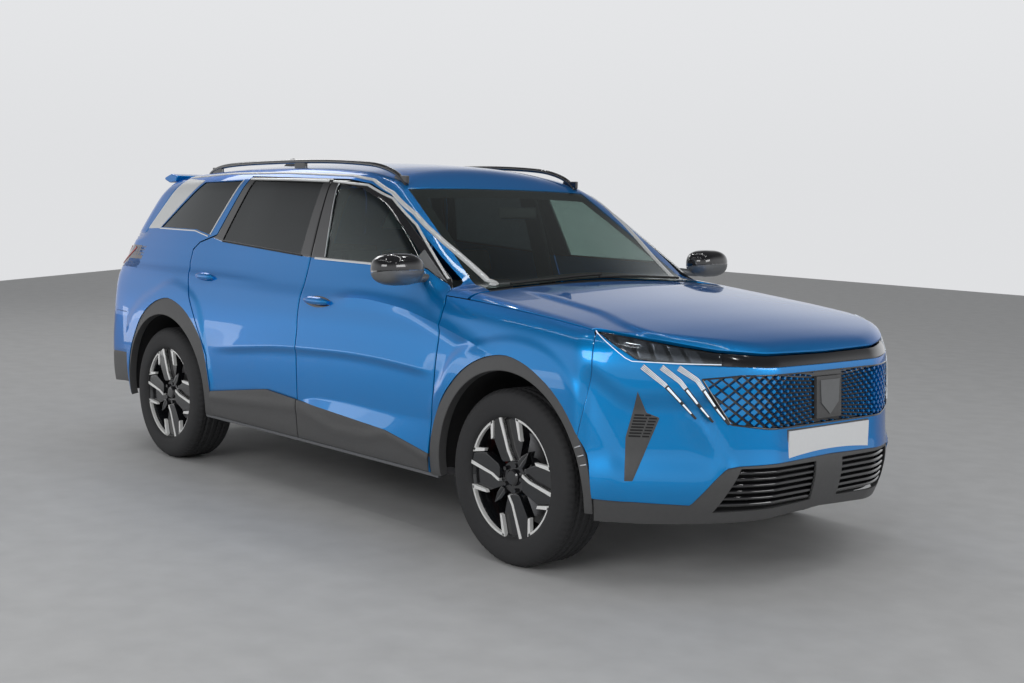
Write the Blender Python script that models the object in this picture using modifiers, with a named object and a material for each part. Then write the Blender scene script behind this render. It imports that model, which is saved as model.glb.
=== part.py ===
"""A five-door family SUV with three rows of seats, built as separate panels on one body surface.

Metres. +X is forward, +Y is the car's left and +Z is up. The origin is on the ground, at mid-length.
"""

import math

import bmesh
import bpy
import numpy as np
from mathutils import Matrix, Vector

# Wheels and axles
FRONT_AXLE_X = 1.485
REAR_AXLE_X = -1.410
TRACK_HALF = 0.800
TYRE_RADIUS = 0.365
TYRE_WIDTH = 0.235
RIM_RADIUS = 0.2450
RIM_WIDTH = 0.200
WHEEL_STEPS = 28
DISC_RADIUS = 0.165
WHEEL_SLANT = 140.0
# One quarter of the wheel's face, as (share of the radius, degrees from the slant line)
WHEEL_BLADE = [(1.0, 24.4), (1.0, 35.0), (0.46, 42.6), (0.20, 59.0), (0.15, 35.0), (0.20, 12.0), (0.356, 9.0),
               (0.70, 13.0)]
WHEEL_SPOKE = [(1.0, 34.0), (1.0, 56.5), (0.66, 68.0), (0.22, 80.0), (0.15, 50.0), (0.42, 40.0)]
HUB_INNER = 0.062
HUB_RADIUS = 0.055
KINGPIN_Y = TRACK_HALF - 0.060
STRUT_Y = TRACK_HALF - 0.154
STRUT_RADIUS = 0.022
TOWER_Y = TRACK_HALF - 0.060
TOWER_TOP = 0.830
INNER_WING_Y = TRACK_HALF - 0.330
WHEELHOUSE_Y = TRACK_HALF - 0.200
ARCH_CLEARANCE = 0.067
ARCH_RADIUS = TYRE_RADIUS + ARCH_CLEARANCE
ARCH_LIFT = 0.012

# Edges sharper than this stay crisp in smooth shading
SHARP_ANGLE = math.radians(32.0)

# Clearances and gaps
SEAT_GAP = 0.0004
SHUT_GAP = 0.007
SEAM_GAP = 0.0006
EDGE_DRAFT = 0.0015

# Panels
SKIN_THICKNESS = 0.014
FRAME_THICKNESS = 0.034
WING_THICKNESS = 0.016
BUMPER_THICKNESS = 0.022
DOOR_DEPTH = 0.060
DOOR_INSET = 0.024
GLASS_THICKNESS = 0.005
GLASS_DEPTH = 0.004
GRILLE_DEPTH = 0.010
GRILLE_THICKNESS = 0.016

# Heights and lines of the body
SILL_BOTTOM = 0.300
SILL_TOP = 0.420
ROOF_SEAM_Y = 0.600
SILL_INNER_Y = 0.700
BOOT_FLOOR = 0.530
FLOOR_BOTTOM = 0.250
FLOOR_TOP = 0.285
BONNET_REAR_X = 1.128
BONNET_EDGE_Y = 0.836
BONNET_HINGE_Y = 0.600
COWL_TOP = 1.036
BONNET_CORNER = 0.007
TAILGATE_HINGE_Y = 0.250
TAILGATE_SET_BACK = 0.006
SCREEN_TOP_X = 0.330
SCREEN_BASE_X = 1.050
ROOF_REAR_X = -1.730

# Hinges of the doors: the axis lies inside the door, behind its leading edge and close under its skin
HINGE_SET_BACK = 0.046
HINGE_DEPTH = 0.012
HINGE_RADIUS = 0.005
HINGE_HEIGHTS = (0.52, 0.86)
HINGE_POCKET = 0.070
HINGE_BARREL = 0.030
INNER_HEIGHTS = (0.345, 0.60, 0.85, 1.085)
MIRROR_X = 0.845
MIRROR_Y = 1.000
MIRROR_Z = 1.175
STEERING_X = 0.480
STEERING_Y = -0.370
STEERING_Z = 0.900
STEERING_TILT = 25.0
STEERING_RADIUS = 0.175
POST_DEPTH = 0.074
POST_THICKNESS = 0.030

# Plan and section of the body side: half-width along the car, and what it loses with height
PLAN = [(-2.6, 0.80), (-2.2, 0.885), (-1.9, 0.918), (-1.41, 0.932), (-0.8, 0.922), (0.0, 0.918),
        (0.8, 0.920), (1.485, 0.935), (1.9, 0.930), (2.3, 0.86), (2.6, 0.72)]
SECTION = [(0.15, -0.075), (0.25, -0.035), (0.34, -0.016), (0.50, -0.006), (0.74, 0.0), (0.88, -0.008),
           (0.98, -0.028), (1.05, -0.058), (1.12, -0.083), (1.20, -0.108), (1.35, -0.158),
           (1.50, -0.215), (1.60, -0.262), (1.75, -0.36)]
# Centre-line profiles of the nose, the tail, the bonnet and the roof
NOSE = [(0.20, 2.30), (0.28, 2.345), (0.36, 2.375), (0.46, 2.390), (0.56, 2.380), (0.66, 2.374),
        (0.76, 2.368), (0.86, 2.362), (0.92, 2.345), (1.1, 2.2)]
TAIL = [(0.20, -2.30), (0.32, -2.36), (0.45, -2.392), (0.60, -2.385), (0.74, -2.36), (0.90, -2.345),
        (1.02, -2.33), (1.10, -2.28), (1.30, -2.16), (1.50, -2.03), (1.65, -1.93)]
BONNET = [(0.8, 1.150), (1.12, 1.120), (1.4, 1.092), (1.8, 1.048), (2.1, 1.000), (2.25, 0.962),
          (2.36, 0.915), (2.5, 0.83)]
ROOF = [(-2.3, 1.530), (-2.0, 1.575), (-1.6, 1.622), (-1.1, 1.650), (-0.5, 1.660), (0.0, 1.645),
        (0.25, 1.600), (0.36, 1.560), (0.6, 1.45)]

# Shut lines on the body side, as x against z
CENTRE_LINE = [(0.305, -0.084), (0.84, -0.092), (1.565, -0.158)]
CENTRE_AHEAD = [(z, x + SHUT_GAP) for z, x in CENTRE_LINE]
FRONT_LINE = [(0.305, 0.957), (0.55, 0.985), (0.80, 1.010), (0.92, 1.020), (1.03, 1.000), (1.10, 0.950),
              (1.262, 0.700), (1.385, 0.500), (1.480, 0.340), (1.535, 0.160), (1.556, -0.020)]
REAR_LINE = [(0.305, -0.915), (0.47, -0.916), (0.62, -0.945), (0.72, -1.000), (0.85, -1.090),
             (0.99, -1.190), (1.10, -1.250), (1.165, -1.262), (1.205, -1.215), (1.250, -1.060),
             (1.565, -0.930)]
# The same front line as the body frame and the wing meet it
FRONT_LINE_GROWN = [(z, x + SHUT_GAP * 1.5) for z, x in FRONT_LINE]
FRONT_LINE_AHEAD = [(z, x + SHUT_GAP) for z, x in FRONT_LINE[:4]] + [(1.03, 1.020), (1.10, 1.060)]
# Plastic cladding: its top edge on the doors, as z against x, and its outline round the wheels, as
# radius against the angle from straight ahead, in degrees
CLADDING_RISE = 0.005
CLADDING_TOP = [(-0.94, 0.428), (-0.362, 0.507), (-0.060, 0.488), (0.657, 0.444), (0.985, 0.382)]
WING_RING = (29, 188)
BUMPER_RING = (3, 17)
FRONT_RING = [(-8, 0.462), (30, 0.473), (66, 0.480), (91, 0.500), (136, 0.495), (188, 0.510)]
REAR_RING = [(-8, 0.490), (12, 0.482), (40, 0.526), (86, 0.530), (139, 0.462), (188, 0.454)]
# Door handles, as start, end and height
HANDLES = {"front_door": (-0.050, 0.170, 0.976), "rear_door": (-1.125, -0.935, 1.027)}
HANDLE_HEIGHT = 0.026
HANDLE_RISE = 0.016
# Windows on the body side, as (x, z) outlines
FRONT_WINDOW = [(-0.085, 1.545), (0.130, 1.518), (0.330, 1.455), (0.535, 1.335), (0.700, 1.235),
                (0.775, 1.180), (0.010, 1.183)]
REAR_WINDOW = [(-0.880, 1.550), (-0.215, 1.543), (-0.215, 1.190), (-0.990, 1.230)]
QUARTER_WINDOW = [(-1.416, 1.535), (-0.985, 1.548), (-1.130, 1.250), (-1.300, 1.275), (-1.730, 1.275)]

# Lines round the nose and the tail, as z against the angle from straight ahead or behind, in degrees
NOSE_PIVOT_X = 1.350
LAMP_TOP = [(0, 0.908), (20, 0.912), (31, 0.926), (40, 0.950), (48, 0.975), (56, 0.994)]
LAMP_LOW = [(0, 0.871), (20, 0.872), (31, 0.879), (40, 0.885), (48, 0.897), (56, 0.986)]
BUMPER_LOW = [(0, 0.510), (26, 0.498), (29, 0.490), (36, 0.345), (62, 0.365)]
LIP_LOW = [(0, 0.290), (26, 0.268), (45, 0.262), (62, 0.270)]
WING_SEAM = [(0.25, 60.8), (0.45, 60.8), (0.85, 57.0), (1.10, 57.0)]
LOW_SEAM = 60.8
NOSE_HALF = (5, 12, 19, 26, 29, 32.5, 36, 41, 48, 56)
NOSE_ANGLES = np.array([-a for a in reversed(NOSE_HALF)] + list(NOSE_HALF), float)
NOSE_ROWS = 7
TAIL_PIVOT_X = -1.550
TAIL_SEAM = [(0.70, 50.0), (1.185, 50.0), (1.235, 25.0), (1.56, 15.0)]
TAILGATE_LOW = 0.790
TAILGATE_TOP = 1.548
REAR_BUMPER_TOP = 0.780
REAR_BUMPER_LOW = 0.270
REAR_BUMPER_START = 19.0
TAIL_LAMP_LOW = 1.035
TAIL_LAMP_TOP = 1.165
TAIL_LAMP_START = 19.0
TAIL_LAMP_END = 49.5

GRILLE_OUTLINE = [(-0.600, 0.828), (-0.470, 0.842), (0.470, 0.842), (0.600, 0.828), (0.508, 0.657),
                  (0.360, 0.636), (-0.360, 0.636), (-0.508, 0.657)]
DIAMOND_WIDTH = 0.077
DIAMOND_HEIGHT = 0.062
DIAMOND_RISE = 0.006
BADGE_HALF = 0.085
# Lamp strips beside the grille, as (angle, z) from top to bottom, and the corner vent, as
# (z, inner angle, outer angle)
CLAWS = [[(46.8, 0.868), (42.0, 0.804), (39.0, 0.747), (35.5, 0.679)],
         [(42.9, 0.866), (39.1, 0.820), (35.1, 0.732), (32.0, 0.667)],
         [(39.4, 0.866), (35.5, 0.825), (31.4, 0.718), (28.7, 0.657)]]
CLAW_WIDTH = 1.1
CLAW_RISE = 0.003
VENT = [(0.436, 48.0, 49.4), (0.600, 45.5, 49.6), (0.690, 43.2, 48.6), (0.770, 46.6, 47.8)]
VENT_DEPTH = 0.008
FIN_TOP = 1.694
INTAKE_SLOTS = 5
INTAKE_LOW = 0.352
INTAKE_STEP = 0.026
INTAKE_SLOT = 0.015


def material(name, colour, roughness, metallic=0.0):
    """A plain Principled material for one kind of part."""
    made = bpy.data.materials.new(name)
    made.use_nodes = True
    shader = made.node_tree.nodes["Principled BSDF"]
    shader.inputs["Base Color"].default_value = (*colour, 1.0)
    shader.inputs["Roughness"].default_value = roughness
    shader.inputs["Metallic"].default_value = metallic
    return made


def clear_scene():
    for obj in list(bpy.data.objects):
        bpy.data.objects.remove(obj, do_unlink=True)


clear_scene()
PARTS = bpy.data.collections.new("suv")
CUTTERS = bpy.data.collections.new("cutters")
bpy.context.scene.collection.children.link(PARTS)
bpy.context.scene.collection.children.link(CUTTERS)

PAINT = material("paint", (0.02, 0.13, 0.42), 0.25, 0.6)
CLADDING = material("cladding", (0.08, 0.08, 0.085), 0.6)
GLOSS_BLACK = material("gloss_black", (0.01, 0.01, 0.012), 0.12)
TINTED = material("tinted_glass", (0.03, 0.04, 0.04), 0.05)
CLEAR = material("clear_glass", (0.25, 0.32, 0.30), 0.05)
LAMP = material("lamp", (0.30, 0.32, 0.35), 0.10)
RED_LAMP = material("red_lamp", (0.30, 0.01, 0.01), 0.15)
RUBBER = material("rubber", (0.02, 0.02, 0.02), 0.85)
ALLOY = material("alloy", (0.35, 0.36, 0.38), 0.35, 0.8)
STEEL = material("steel", (0.20, 0.20, 0.21), 0.5, 0.7)
TRIM = material("interior_trim", (0.05, 0.05, 0.055), 0.7)
FABRIC = material("fabric", (0.09, 0.09, 0.10), 0.9)


def smooth_max(a, b, blend):
    """The larger of two fields, rounded over where they meet."""
    near = np.maximum(blend - np.abs(a - b), 0.0) / blend
    return np.maximum(a, b) + near * near * blend / 4.0


def smooth_min(a, b, blend):
    return -smooth_max(-a, -b, blend)


def curve(value, points):
    """A smooth curve through the points that never overshoots them."""
    xs = np.array([p[0] for p in points], float)
    ys = np.array([p[1] for p in points], float)
    step = np.diff(xs)
    slope = np.diff(ys) / step
    tangent = np.empty(len(xs))
    tangent[0] = slope[0]
    tangent[-1] = slope[-1]
    for i in range(1, len(xs) - 1):
        before, after = slope[i - 1], slope[i]
        if before * after <= 0:
            tangent[i] = 0.0
        else:
            tangent[i] = (step[i - 1] + step[i]) / (step[i - 1] / after + step[i] / before)
    value = np.clip(value, xs[0], xs[-1])
    i = np.clip(np.searchsorted(xs, value) - 1, 0, len(xs) - 2)
    s = (value - xs[i]) / step[i]
    rise = (3 - 2 * s) * s * s
    lead = (1 - s) * (1 - s) * s * step[i] * tangent[i]
    tail = (s - 1) * s * s * step[i] * tangent[i + 1]
    return ys[i] + (ys[i + 1] - ys[i]) * rise + lead + tail


def line(value, points):
    """Straight lines through the points."""
    return np.interp(value, [p[0] for p in points], [p[1] for p in points])


def side_width(x, z):
    above_belt = np.clip((z - 1.10) / 0.5, 0.0, 1.0)
    towards_tail = np.clip((-x - 0.6) / 1.3, 0.0, 1.0)
    towards_nose = np.clip(x / 0.9, 0.0, 1.0)
    taper = 0.050 * towards_tail ** 1.5 + 0.085 * towards_nose ** 1.5
    return curve(x, PLAN) + curve(z, SECTION) - above_belt * taper


def nose_x(y, z):
    a = np.abs(y)
    return curve(z, NOSE) - 0.03 * a * a - 0.9 * np.maximum(a - 0.30, 0.0) ** 1.6


def tail_x(y, z):
    a = np.abs(y)
    return curve(z, TAIL) + 0.10 * a * a + 0.55 * np.maximum(a - 0.45, 0.0) ** 1.8


def top_z(x, y):
    bonnet = curve(x, BONNET) - 0.035 * (y / 0.8) ** 2
    screen = (1.135 - x) * 0.555 + 1.085 - 0.17 * y * y * np.clip((x - 0.2) / 0.8, 0.15, 1.2)
    roof = curve(x, ROOF) - 0.045 * (y / 0.6) ** 2
    return smooth_max(bonnet, smooth_min(roof, screen, 0.02), 0.02)


def body(x, y, z):
    """The body surface is where this field is zero; it is negative inside."""
    field = smooth_max(np.abs(y) - side_width(x, z), z - top_z(x, y), 0.09)
    field = smooth_max(field, x - nose_x(y, z), 0.06)
    return smooth_max(field, tail_x(y, z) - x, 0.10)


def on_body(start, direction, reach=1.6):
    """The points where rays from inside the body leave its surface."""
    start, direction = np.broadcast_arrays(np.asarray(start, float), np.asarray(direction, float))
    low = np.zeros(start.shape[:-1])
    high = np.full(start.shape[:-1], reach)
    for _ in range(40):
        middle = (low + high) / 2
        point = start + middle[..., None] * direction
        inside = body(point[..., 0], point[..., 1], point[..., 2]) < 0
        low = np.where(inside, middle, low)
        high = np.where(inside, high, middle)
    return start + low[..., None] * direction


def stack(x, y, z):
    x, y, z = np.broadcast_arrays(x, y, z)
    return np.stack([x, y, z], axis=-1).astype(float)


def side_points(x, z, side):
    """Points on the body side at these x and z."""
    return on_body(stack(x, 0.0, z), (0.0, side, 0.0))


def top_points(x, y):
    """Points on the bonnet, the windscreen and the roof at these x and y."""
    return on_body(stack(x, y, 0.55), (0.0, 0.0, 1.0))


def nose_points(angle, z):
    """Points round the nose at these angles from straight ahead."""
    turn = np.radians(angle)
    return on_body(stack(NOSE_PIVOT_X, 0.0, z), stack(np.cos(turn), np.sin(turn), 0.0))


def tail_points(angle, z):
    """Points round the tail; 0 degrees is square to the car's left side and 90 is straight behind."""
    turn = np.radians(angle)
    return on_body(stack(TAIL_PIVOT_X, 0.0, z), stack(-np.sin(turn), np.cos(turn), 0.0))


def normals(points):
    """Outward normals of the body surface."""
    step = 1e-4
    x, y, z = points[..., 0], points[..., 1], points[..., 2]
    slope = np.stack([
        body(x + step, y, z) - body(x - step, y, z),
        body(x, y + step, z) - body(x, y - step, z),
        body(x, y, z + step) - body(x, y, z - step),
    ], axis=-1)
    return slope / np.linalg.norm(slope, axis=-1, keepdims=True)


def sunk(points, depth):
    """The points moved into the body, square to its surface."""
    depth = np.asarray(depth, float)
    return points - normals(points) * (depth[..., None] if depth.ndim else depth)


def finish(obj, parts=True):
    """Put an object in its collection; helpers stay out of the render."""
    (PARTS if parts else CUTTERS).objects.link(obj)
    if not parts:
        obj.hide_render = True
        obj.display_type = "WIRE"
    return obj


def object_from(bm, name, look, parts=True):
    mesh = bpy.data.meshes.new(name)
    bmesh.ops.recalc_face_normals(bm, faces=bm.faces)
    bm.to_mesh(mesh)
    bm.free()
    mesh.shade_smooth()
    mesh.set_sharp_from_angle(angle=SHARP_ANGLE)
    if look is not None:
        mesh.materials.append(look.copy() if parts else look)
    return finish(bpy.data.objects.new(name, mesh), parts)


def drafted(rows, draft):
    """The grid with its border drawn in, so that a panel's edge leaves its neighbour going inward."""
    rows = rows.copy()
    for edge, beside in ((0, 1), (-1, -2)):
        for grid in (rows, rows.transpose(1, 0, 2)):
            along = grid[beside] - grid[edge]
            grid[edge] += along * (draft / np.linalg.norm(along, axis=-1, keepdims=True))
    return rows


def sheet(name, rows, thickness, look, parts=True, rise=0.0):
    """A panel: a grid laid on the given rows of points, extruded square to the body surface."""
    rows = np.asarray(rows, float)
    count, width = rows.shape[:2]
    bm = bmesh.new()
    bmesh.ops.create_grid(bm, x_segments=width - 1, y_segments=count - 1, size=0.5)
    outer = sorted(bm.verts, key=lambda v: (round(v.co.y, 5), round(v.co.x, 5)))
    above = sunk(rows, -rise).reshape(-1, 3)
    under = sunk(drafted(rows, EDGE_DRAFT) if parts else rows, thickness).reshape(-1, 3)
    place = {}
    for vert, point, below in zip(outer, above, under):
        vert.co = point
        place[tuple(vert.co)] = below
    made = bmesh.ops.extrude_face_region(bm, geom=list(bm.faces), use_keep_orig=True)
    for vert in made["geom"]:
        if isinstance(vert, bmesh.types.BMVert):
            vert.co = place[tuple(vert.co)]
    bmesh.ops.triangulate(bm, faces=bm.faces)
    obj = object_from(bm, name, look, parts)
    obj["curved"] = True
    return obj


def prism(name, outline, low, high, plane="xz", look=None, parts=False):
    """An outline in one plane, extruded across it."""
    def place(a, b, c):
        return {"xz": (a, c, b), "yz": (c, a, b), "xy": (a, b, c)}[plane]
    bm = bmesh.new()
    face = bm.faces.new([bm.verts.new(place(a, b, low)) for a, b in outline])
    made = bmesh.ops.extrude_face_region(bm, geom=[face])
    moved = [item for item in made["geom"] if isinstance(item, bmesh.types.BMVert)]
    bmesh.ops.translate(bm, verts=moved, vec=Vector(place(0, 0, high)) - Vector(place(0, 0, low)))
    return object_from(bm, name, look, parts)


def block(name, low, high, look=None, parts=False, bevel=0.0):
    """A box between two corners."""
    size = [h - l for l, h in zip(low, high)]
    centre = [(h + l) / 2 for l, h in zip(low, high)]
    bm = bmesh.new()
    bmesh.ops.create_cube(bm, size=1.0)
    bmesh.ops.scale(bm, verts=bm.verts, vec=size)
    bmesh.ops.translate(bm, verts=bm.verts, vec=centre)
    obj = object_from(bm, name, look, parts)
    if bevel:
        rounded = obj.modifiers.new("rounded", "BEVEL")
        rounded.width = bevel
        rounded.segments = 2
    return obj


def side_block(name, side, along, outward, upward):
    """A box on one side of the car, given by its reach along x, outward from the middle, and in z."""
    near, far = sorted((side * outward[0], side * outward[1]))
    return block(name, (along[0], near, upward[0]), (along[1], far, upward[1]))


def rod(name, start, end, radius, look=None, parts=False, sides=8, end_radius=None):
    """A cylinder or cone between two points."""
    start, end = Vector(start), Vector(end)
    along = end - start
    bm = bmesh.new()
    bmesh.ops.create_cone(bm, cap_ends=True, segments=sides, radius1=radius,
                          radius2=radius if end_radius is None else end_radius, depth=along.length)
    turn = Vector((0, 0, 1)).rotation_difference(along).to_matrix().to_4x4()
    bmesh.ops.transform(bm, matrix=Matrix.Translation((start + end) / 2) @ turn, verts=bm.verts)
    return object_from(bm, name, look, parts)


def combine(obj, other, operation):
    """A Boolean; the panels with double curvature need the MANIFOLD solver."""
    made = obj.modifiers.new(f"{operation.lower()} {other.name}", "BOOLEAN")
    made.operation = operation
    made.object = other
    made.solver = "MANIFOLD" if obj.get("curved") else "EXACT"
    return obj


def cut(obj, *others):
    for other in others:
        combine(obj, other, "DIFFERENCE")
    return obj


def join(obj, *others):
    for other in others:
        combine(obj, other, "UNION")
    return obj


def keep(obj, other):
    return combine(obj, other, "INTERSECT")


def grown(outline, distance):
    """The outline moved outward by a distance, or inward if it is negative."""
    points = [Vector(p) for p in outline]
    count = len(points)
    area = sum(points[i - 1].cross(points[i]) for i in range(count))
    turn = 1.0 if area > 0 else -1.0
    made = []
    for i in range(count):
        before = (points[i] - points[i - 1]).normalized()
        after = (points[(i + 1) % count] - points[i]).normalized()
        normal_before = Vector((before.y, -before.x)) * turn
        normal_after = Vector((after.y, -after.x)) * turn
        middle = (normal_before + normal_after).normalized()
        made.append(points[i] + middle * (distance / max(middle.dot(normal_after), 0.3)))
    return [tuple(p) for p in made]


def circle(centre_a, centre_b, radius, sides=40):
    return [(centre_a + radius * math.cos(2 * math.pi * k / sides),
             centre_b + radius * math.sin(2 * math.pi * k / sides)) for k in range(sides)]


def name_of(word, side):
    return f"{word}_{'left' if side > 0 else 'right'}"


def across(low, high, count):
    return np.linspace(low, high, count)


def side_rows(left_line, right_line, heights, columns, side, inset=0.0):
    """Rows of points on the body side between two shut lines."""
    rows = []
    for z in heights:
        left = line(z, left_line) + inset
        right = line(z, right_line) - inset
        rows.append(side_points(across(left, right, columns), z, side))
    return np.array(rows)


def axle_z():
    """Half-height of the wheel polygon that stands on one of its flats."""
    return TYRE_RADIUS * math.cos(math.pi / WHEEL_STEPS)


def door_outline(left_line, right_line):
    """A door's closed (x, z) outline from its two shut lines."""
    return [(x, z) for z, x in left_line] + [(x, z) for z, x in reversed(right_line)]


def box_along(name, centre, ranges):
    """A box given by its reach from a centre along named unit directions."""
    low = Vector(centre)
    high = Vector(centre)
    for direction, (near, far) in ranges:
        for k in range(3):
            if direction[k]:
                ends = sorted((near * direction[k], far * direction[k]))
                low[k] += ends[0]
                high[k] += ends[1]
    return block(name, low, high)


def hinge(name, lid, frame, centre, axis, inward, lead, arm):
    """A hinge: a pocket with two pins in the lid, and a barrel on an arm of the frame between them."""
    centre, axis = Vector(centre), Vector(axis)
    half_barrel = HINGE_BARREL / 2
    half_pocket = HINGE_POCKET / 2
    if lid is not None:
        cut(lid, box_along(f"{name} pocket", centre, [
            (axis, (-half_pocket, half_pocket)),
            (inward, (-HINGE_RADIUS - 0.002, 0.120)),
            (lead, (-HINGE_RADIUS - 0.012, 0.120)),
        ]))
        for way in (-1, 1):
            near = centre + axis * way * (half_barrel + SEAT_GAP)
            far = centre + axis * way * (half_pocket + 0.004)
            join(lid, rod(f"{name} pin {way}", near, far, HINGE_RADIUS))
    if frame is not None:
        barrel_end = axis * half_barrel
        join(frame, rod(f"{name} barrel", centre - barrel_end, centre + barrel_end, HINGE_RADIUS))
        join(frame, box_along(f"{name} arm", centre, [
            (axis, (-half_barrel + 0.001, half_barrel - 0.001)),
            (inward, (0.0, arm)),
            (lead, (-0.004, 0.004)),
        ]))


def door_axis(edge_line):
    """Where a left door's hinge axis stands: x and y."""
    x = max(line(z, edge_line) for z in HINGE_HEIGHTS) - HINGE_SET_BACK
    y = max(side_points(np.array([x]), np.array([z]), 1)[0, 1] for z in HINGE_HEIGHTS)
    return x, y - HINGE_DEPTH


def door_hinges(name, edge_line, side, lid=None, frame=None):
    x, y = door_axis(edge_line)
    for z in HINGE_HEIGHTS:
        hinge(f"{name} {z}", lid, frame, (x, side * y, z), (0, 0, 1), (0, -side, 0), (1, 0, 0),
              POST_DEPTH - HINGE_DEPTH + 0.012)


def heights_of(*lines):
    """The heights of all the corners of some shut lines, up to the lowest of their tops."""
    top = min(points[-1][0] for points in lines)
    return sorted({z for points in lines for z, x in points if z <= top})


def door(word, left_line, right_line, window, side):
    """One door: outer skin with its window frame, inner box, and its half of the hinges."""
    name = name_of(word, side)
    heights = heights_of(left_line, right_line)
    rows = side_rows(left_line, right_line, heights, 5, side)
    panel = sheet(name, rows, SKIN_THICKNESS, PAINT)
    inner = side_rows(left_line, right_line, INNER_HEIGHTS, 4, side, DOOR_INSET)
    join(panel, sheet(f"{name} inner", sunk(inner, SKIN_THICKNESS / 2),
                      DOOR_DEPTH - SKIN_THICKNESS / 2, TRIM, parts=False))
    cut(panel, prism(f"{name} window", window, 0.3 * side, 1.2 * side))
    door_hinges(name, right_line, side, lid=panel)
    join(panel, door_cladding(f"{name} cladding", left_line, right_line, side), door_handle(word, side))
    first = heights.index(1.10)
    glass = sheet(f"{name}_glass", sunk(rows[first:], GLASS_DEPTH), GLASS_THICKNESS,
                  CLEAR if word == "front_door" else TINTED)
    keep(glass, prism(f"{name} glass outline", grown(window, -SEAT_GAP), 0.3 * side, 1.2 * side))
    return panel, glass, rows


def door_cladding(name, left_line, right_line, side):
    """The raised plastic band along a door's foot, with its zigzag top edge."""
    inset = CLADDING_RISE
    rows = []
    for share in (0.0, 0.5, 1.0):
        row = []
        for along in across(0.0, 1.0, 5):
            z = SILL_BOTTOM + 2 * inset
            for _ in range(12):
                left = line(z, left_line) + inset
                right = line(z, right_line) - inset
                x = left + along * (right - left)
                z = SILL_BOTTOM + 2 * inset + share * (line(x, CLADDING_TOP) - SILL_BOTTOM - 2 * inset)
            row.append(side_points(np.array([x]), np.array([z]), side)[0])
        rows.append(row)
    return sheet(name, rows, SKIN_THICKNESS / 2, CLADDING, parts=False, rise=CLADDING_RISE)


def door_handle(word, side):
    """A pull handle, standing on the door's skin."""
    start, end, middle = HANDLES[word]
    rows = [side_points(across(start, end, 4), z, side)
            for z in (middle - HANDLE_HEIGHT / 2, middle + HANDLE_HEIGHT / 2)]
    return sheet(name_of(f"{word} handle", side), rows, SKIN_THICKNESS / 2, PAINT, parts=False, rise=HANDLE_RISE)


def arch_ring(name, axle_x, ring, start, end, side):
    """Raised plastic cladding round a wheel arch, between two angles."""
    angles = across(start, end, 13 if end - start > 90 else 5)
    turn = np.radians(angles)
    rows = []
    for share in (0.0, 1.0):
        inner = ARCH_RADIUS - 0.004
        radius = inner + share * (line(angles, ring) - inner)
        z = axle_z() + ARCH_LIFT + radius * np.sin(turn)
        rows.append(side_points(axle_x + radius * np.cos(turn), np.maximum(z, SILL_BOTTOM + 0.010), side))
    return sheet(name, rows, WING_THICKNESS / 2, CLADDING, parts=False, rise=CLADDING_RISE)


def mirror(side, door_skin):
    """Door mirror: a rounded head on a stalk that ends on the door's skin."""
    name = name_of("mirror", side)
    bm = bmesh.new()
    bmesh.ops.create_uvsphere(bm, u_segments=14, v_segments=8, radius=1.0)
    bmesh.ops.scale(bm, verts=bm.verts, vec=(0.095, 0.125, 0.075))
    bmesh.ops.translate(bm, verts=bm.verts, vec=(MIRROR_X, side * MIRROR_Y, MIRROR_Z))
    bmesh.ops.bisect_plane(bm, geom=bm.verts[:] + bm.edges[:] + bm.faces[:], plane_co=(MIRROR_X - 0.045, 0, 0),
                           plane_no=(-1, 0, 0), clear_outer=True)
    bmesh.ops.holes_fill(bm, edges=[e for e in bm.edges if e.is_boundary])
    head = object_from(bm, name, GLOSS_BLACK)
    stalk = side_block(f"{name} stalk", side, (MIRROR_X + 0.01, MIRROR_X + 0.07), (0.790, 0.960),
                       (MIRROR_Z - 0.060, MIRROR_Z - 0.025))
    join(head, stalk)
    space = sheet(f"{name} door space", door_skin, 0.080, PAINT, parts=False, rise=SEAT_GAP)
    space["curved"] = True
    head["curved"] = True
    return cut(head, space)


def post(name, x_low, x_high, heights, depths, side):
    """An upright of the body frame, lying at a depth below the skin."""
    rows = []
    for z, depth in zip(heights, depths):
        row = side_points(across(x_low, x_high, 2), z, side)
        rows.append(sunk(row, np.full(2, depth)))
    return sheet(name, rows, POST_THICKNESS, PAINT, parts=False)


def seam_y(x):
    """Half-width where the roof and the windscreen meet the body sides."""
    return line(x, [(SCREEN_TOP_X, ROOF_SEAM_Y - 0.03), (SCREEN_BASE_X, 0.690), (BONNET_REAR_X, 0.720)]) \
        if x > SCREEN_TOP_X else line(x, [(0.0, ROOF_SEAM_Y), (SCREEN_TOP_X, ROOF_SEAM_Y - 0.03)])


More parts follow.
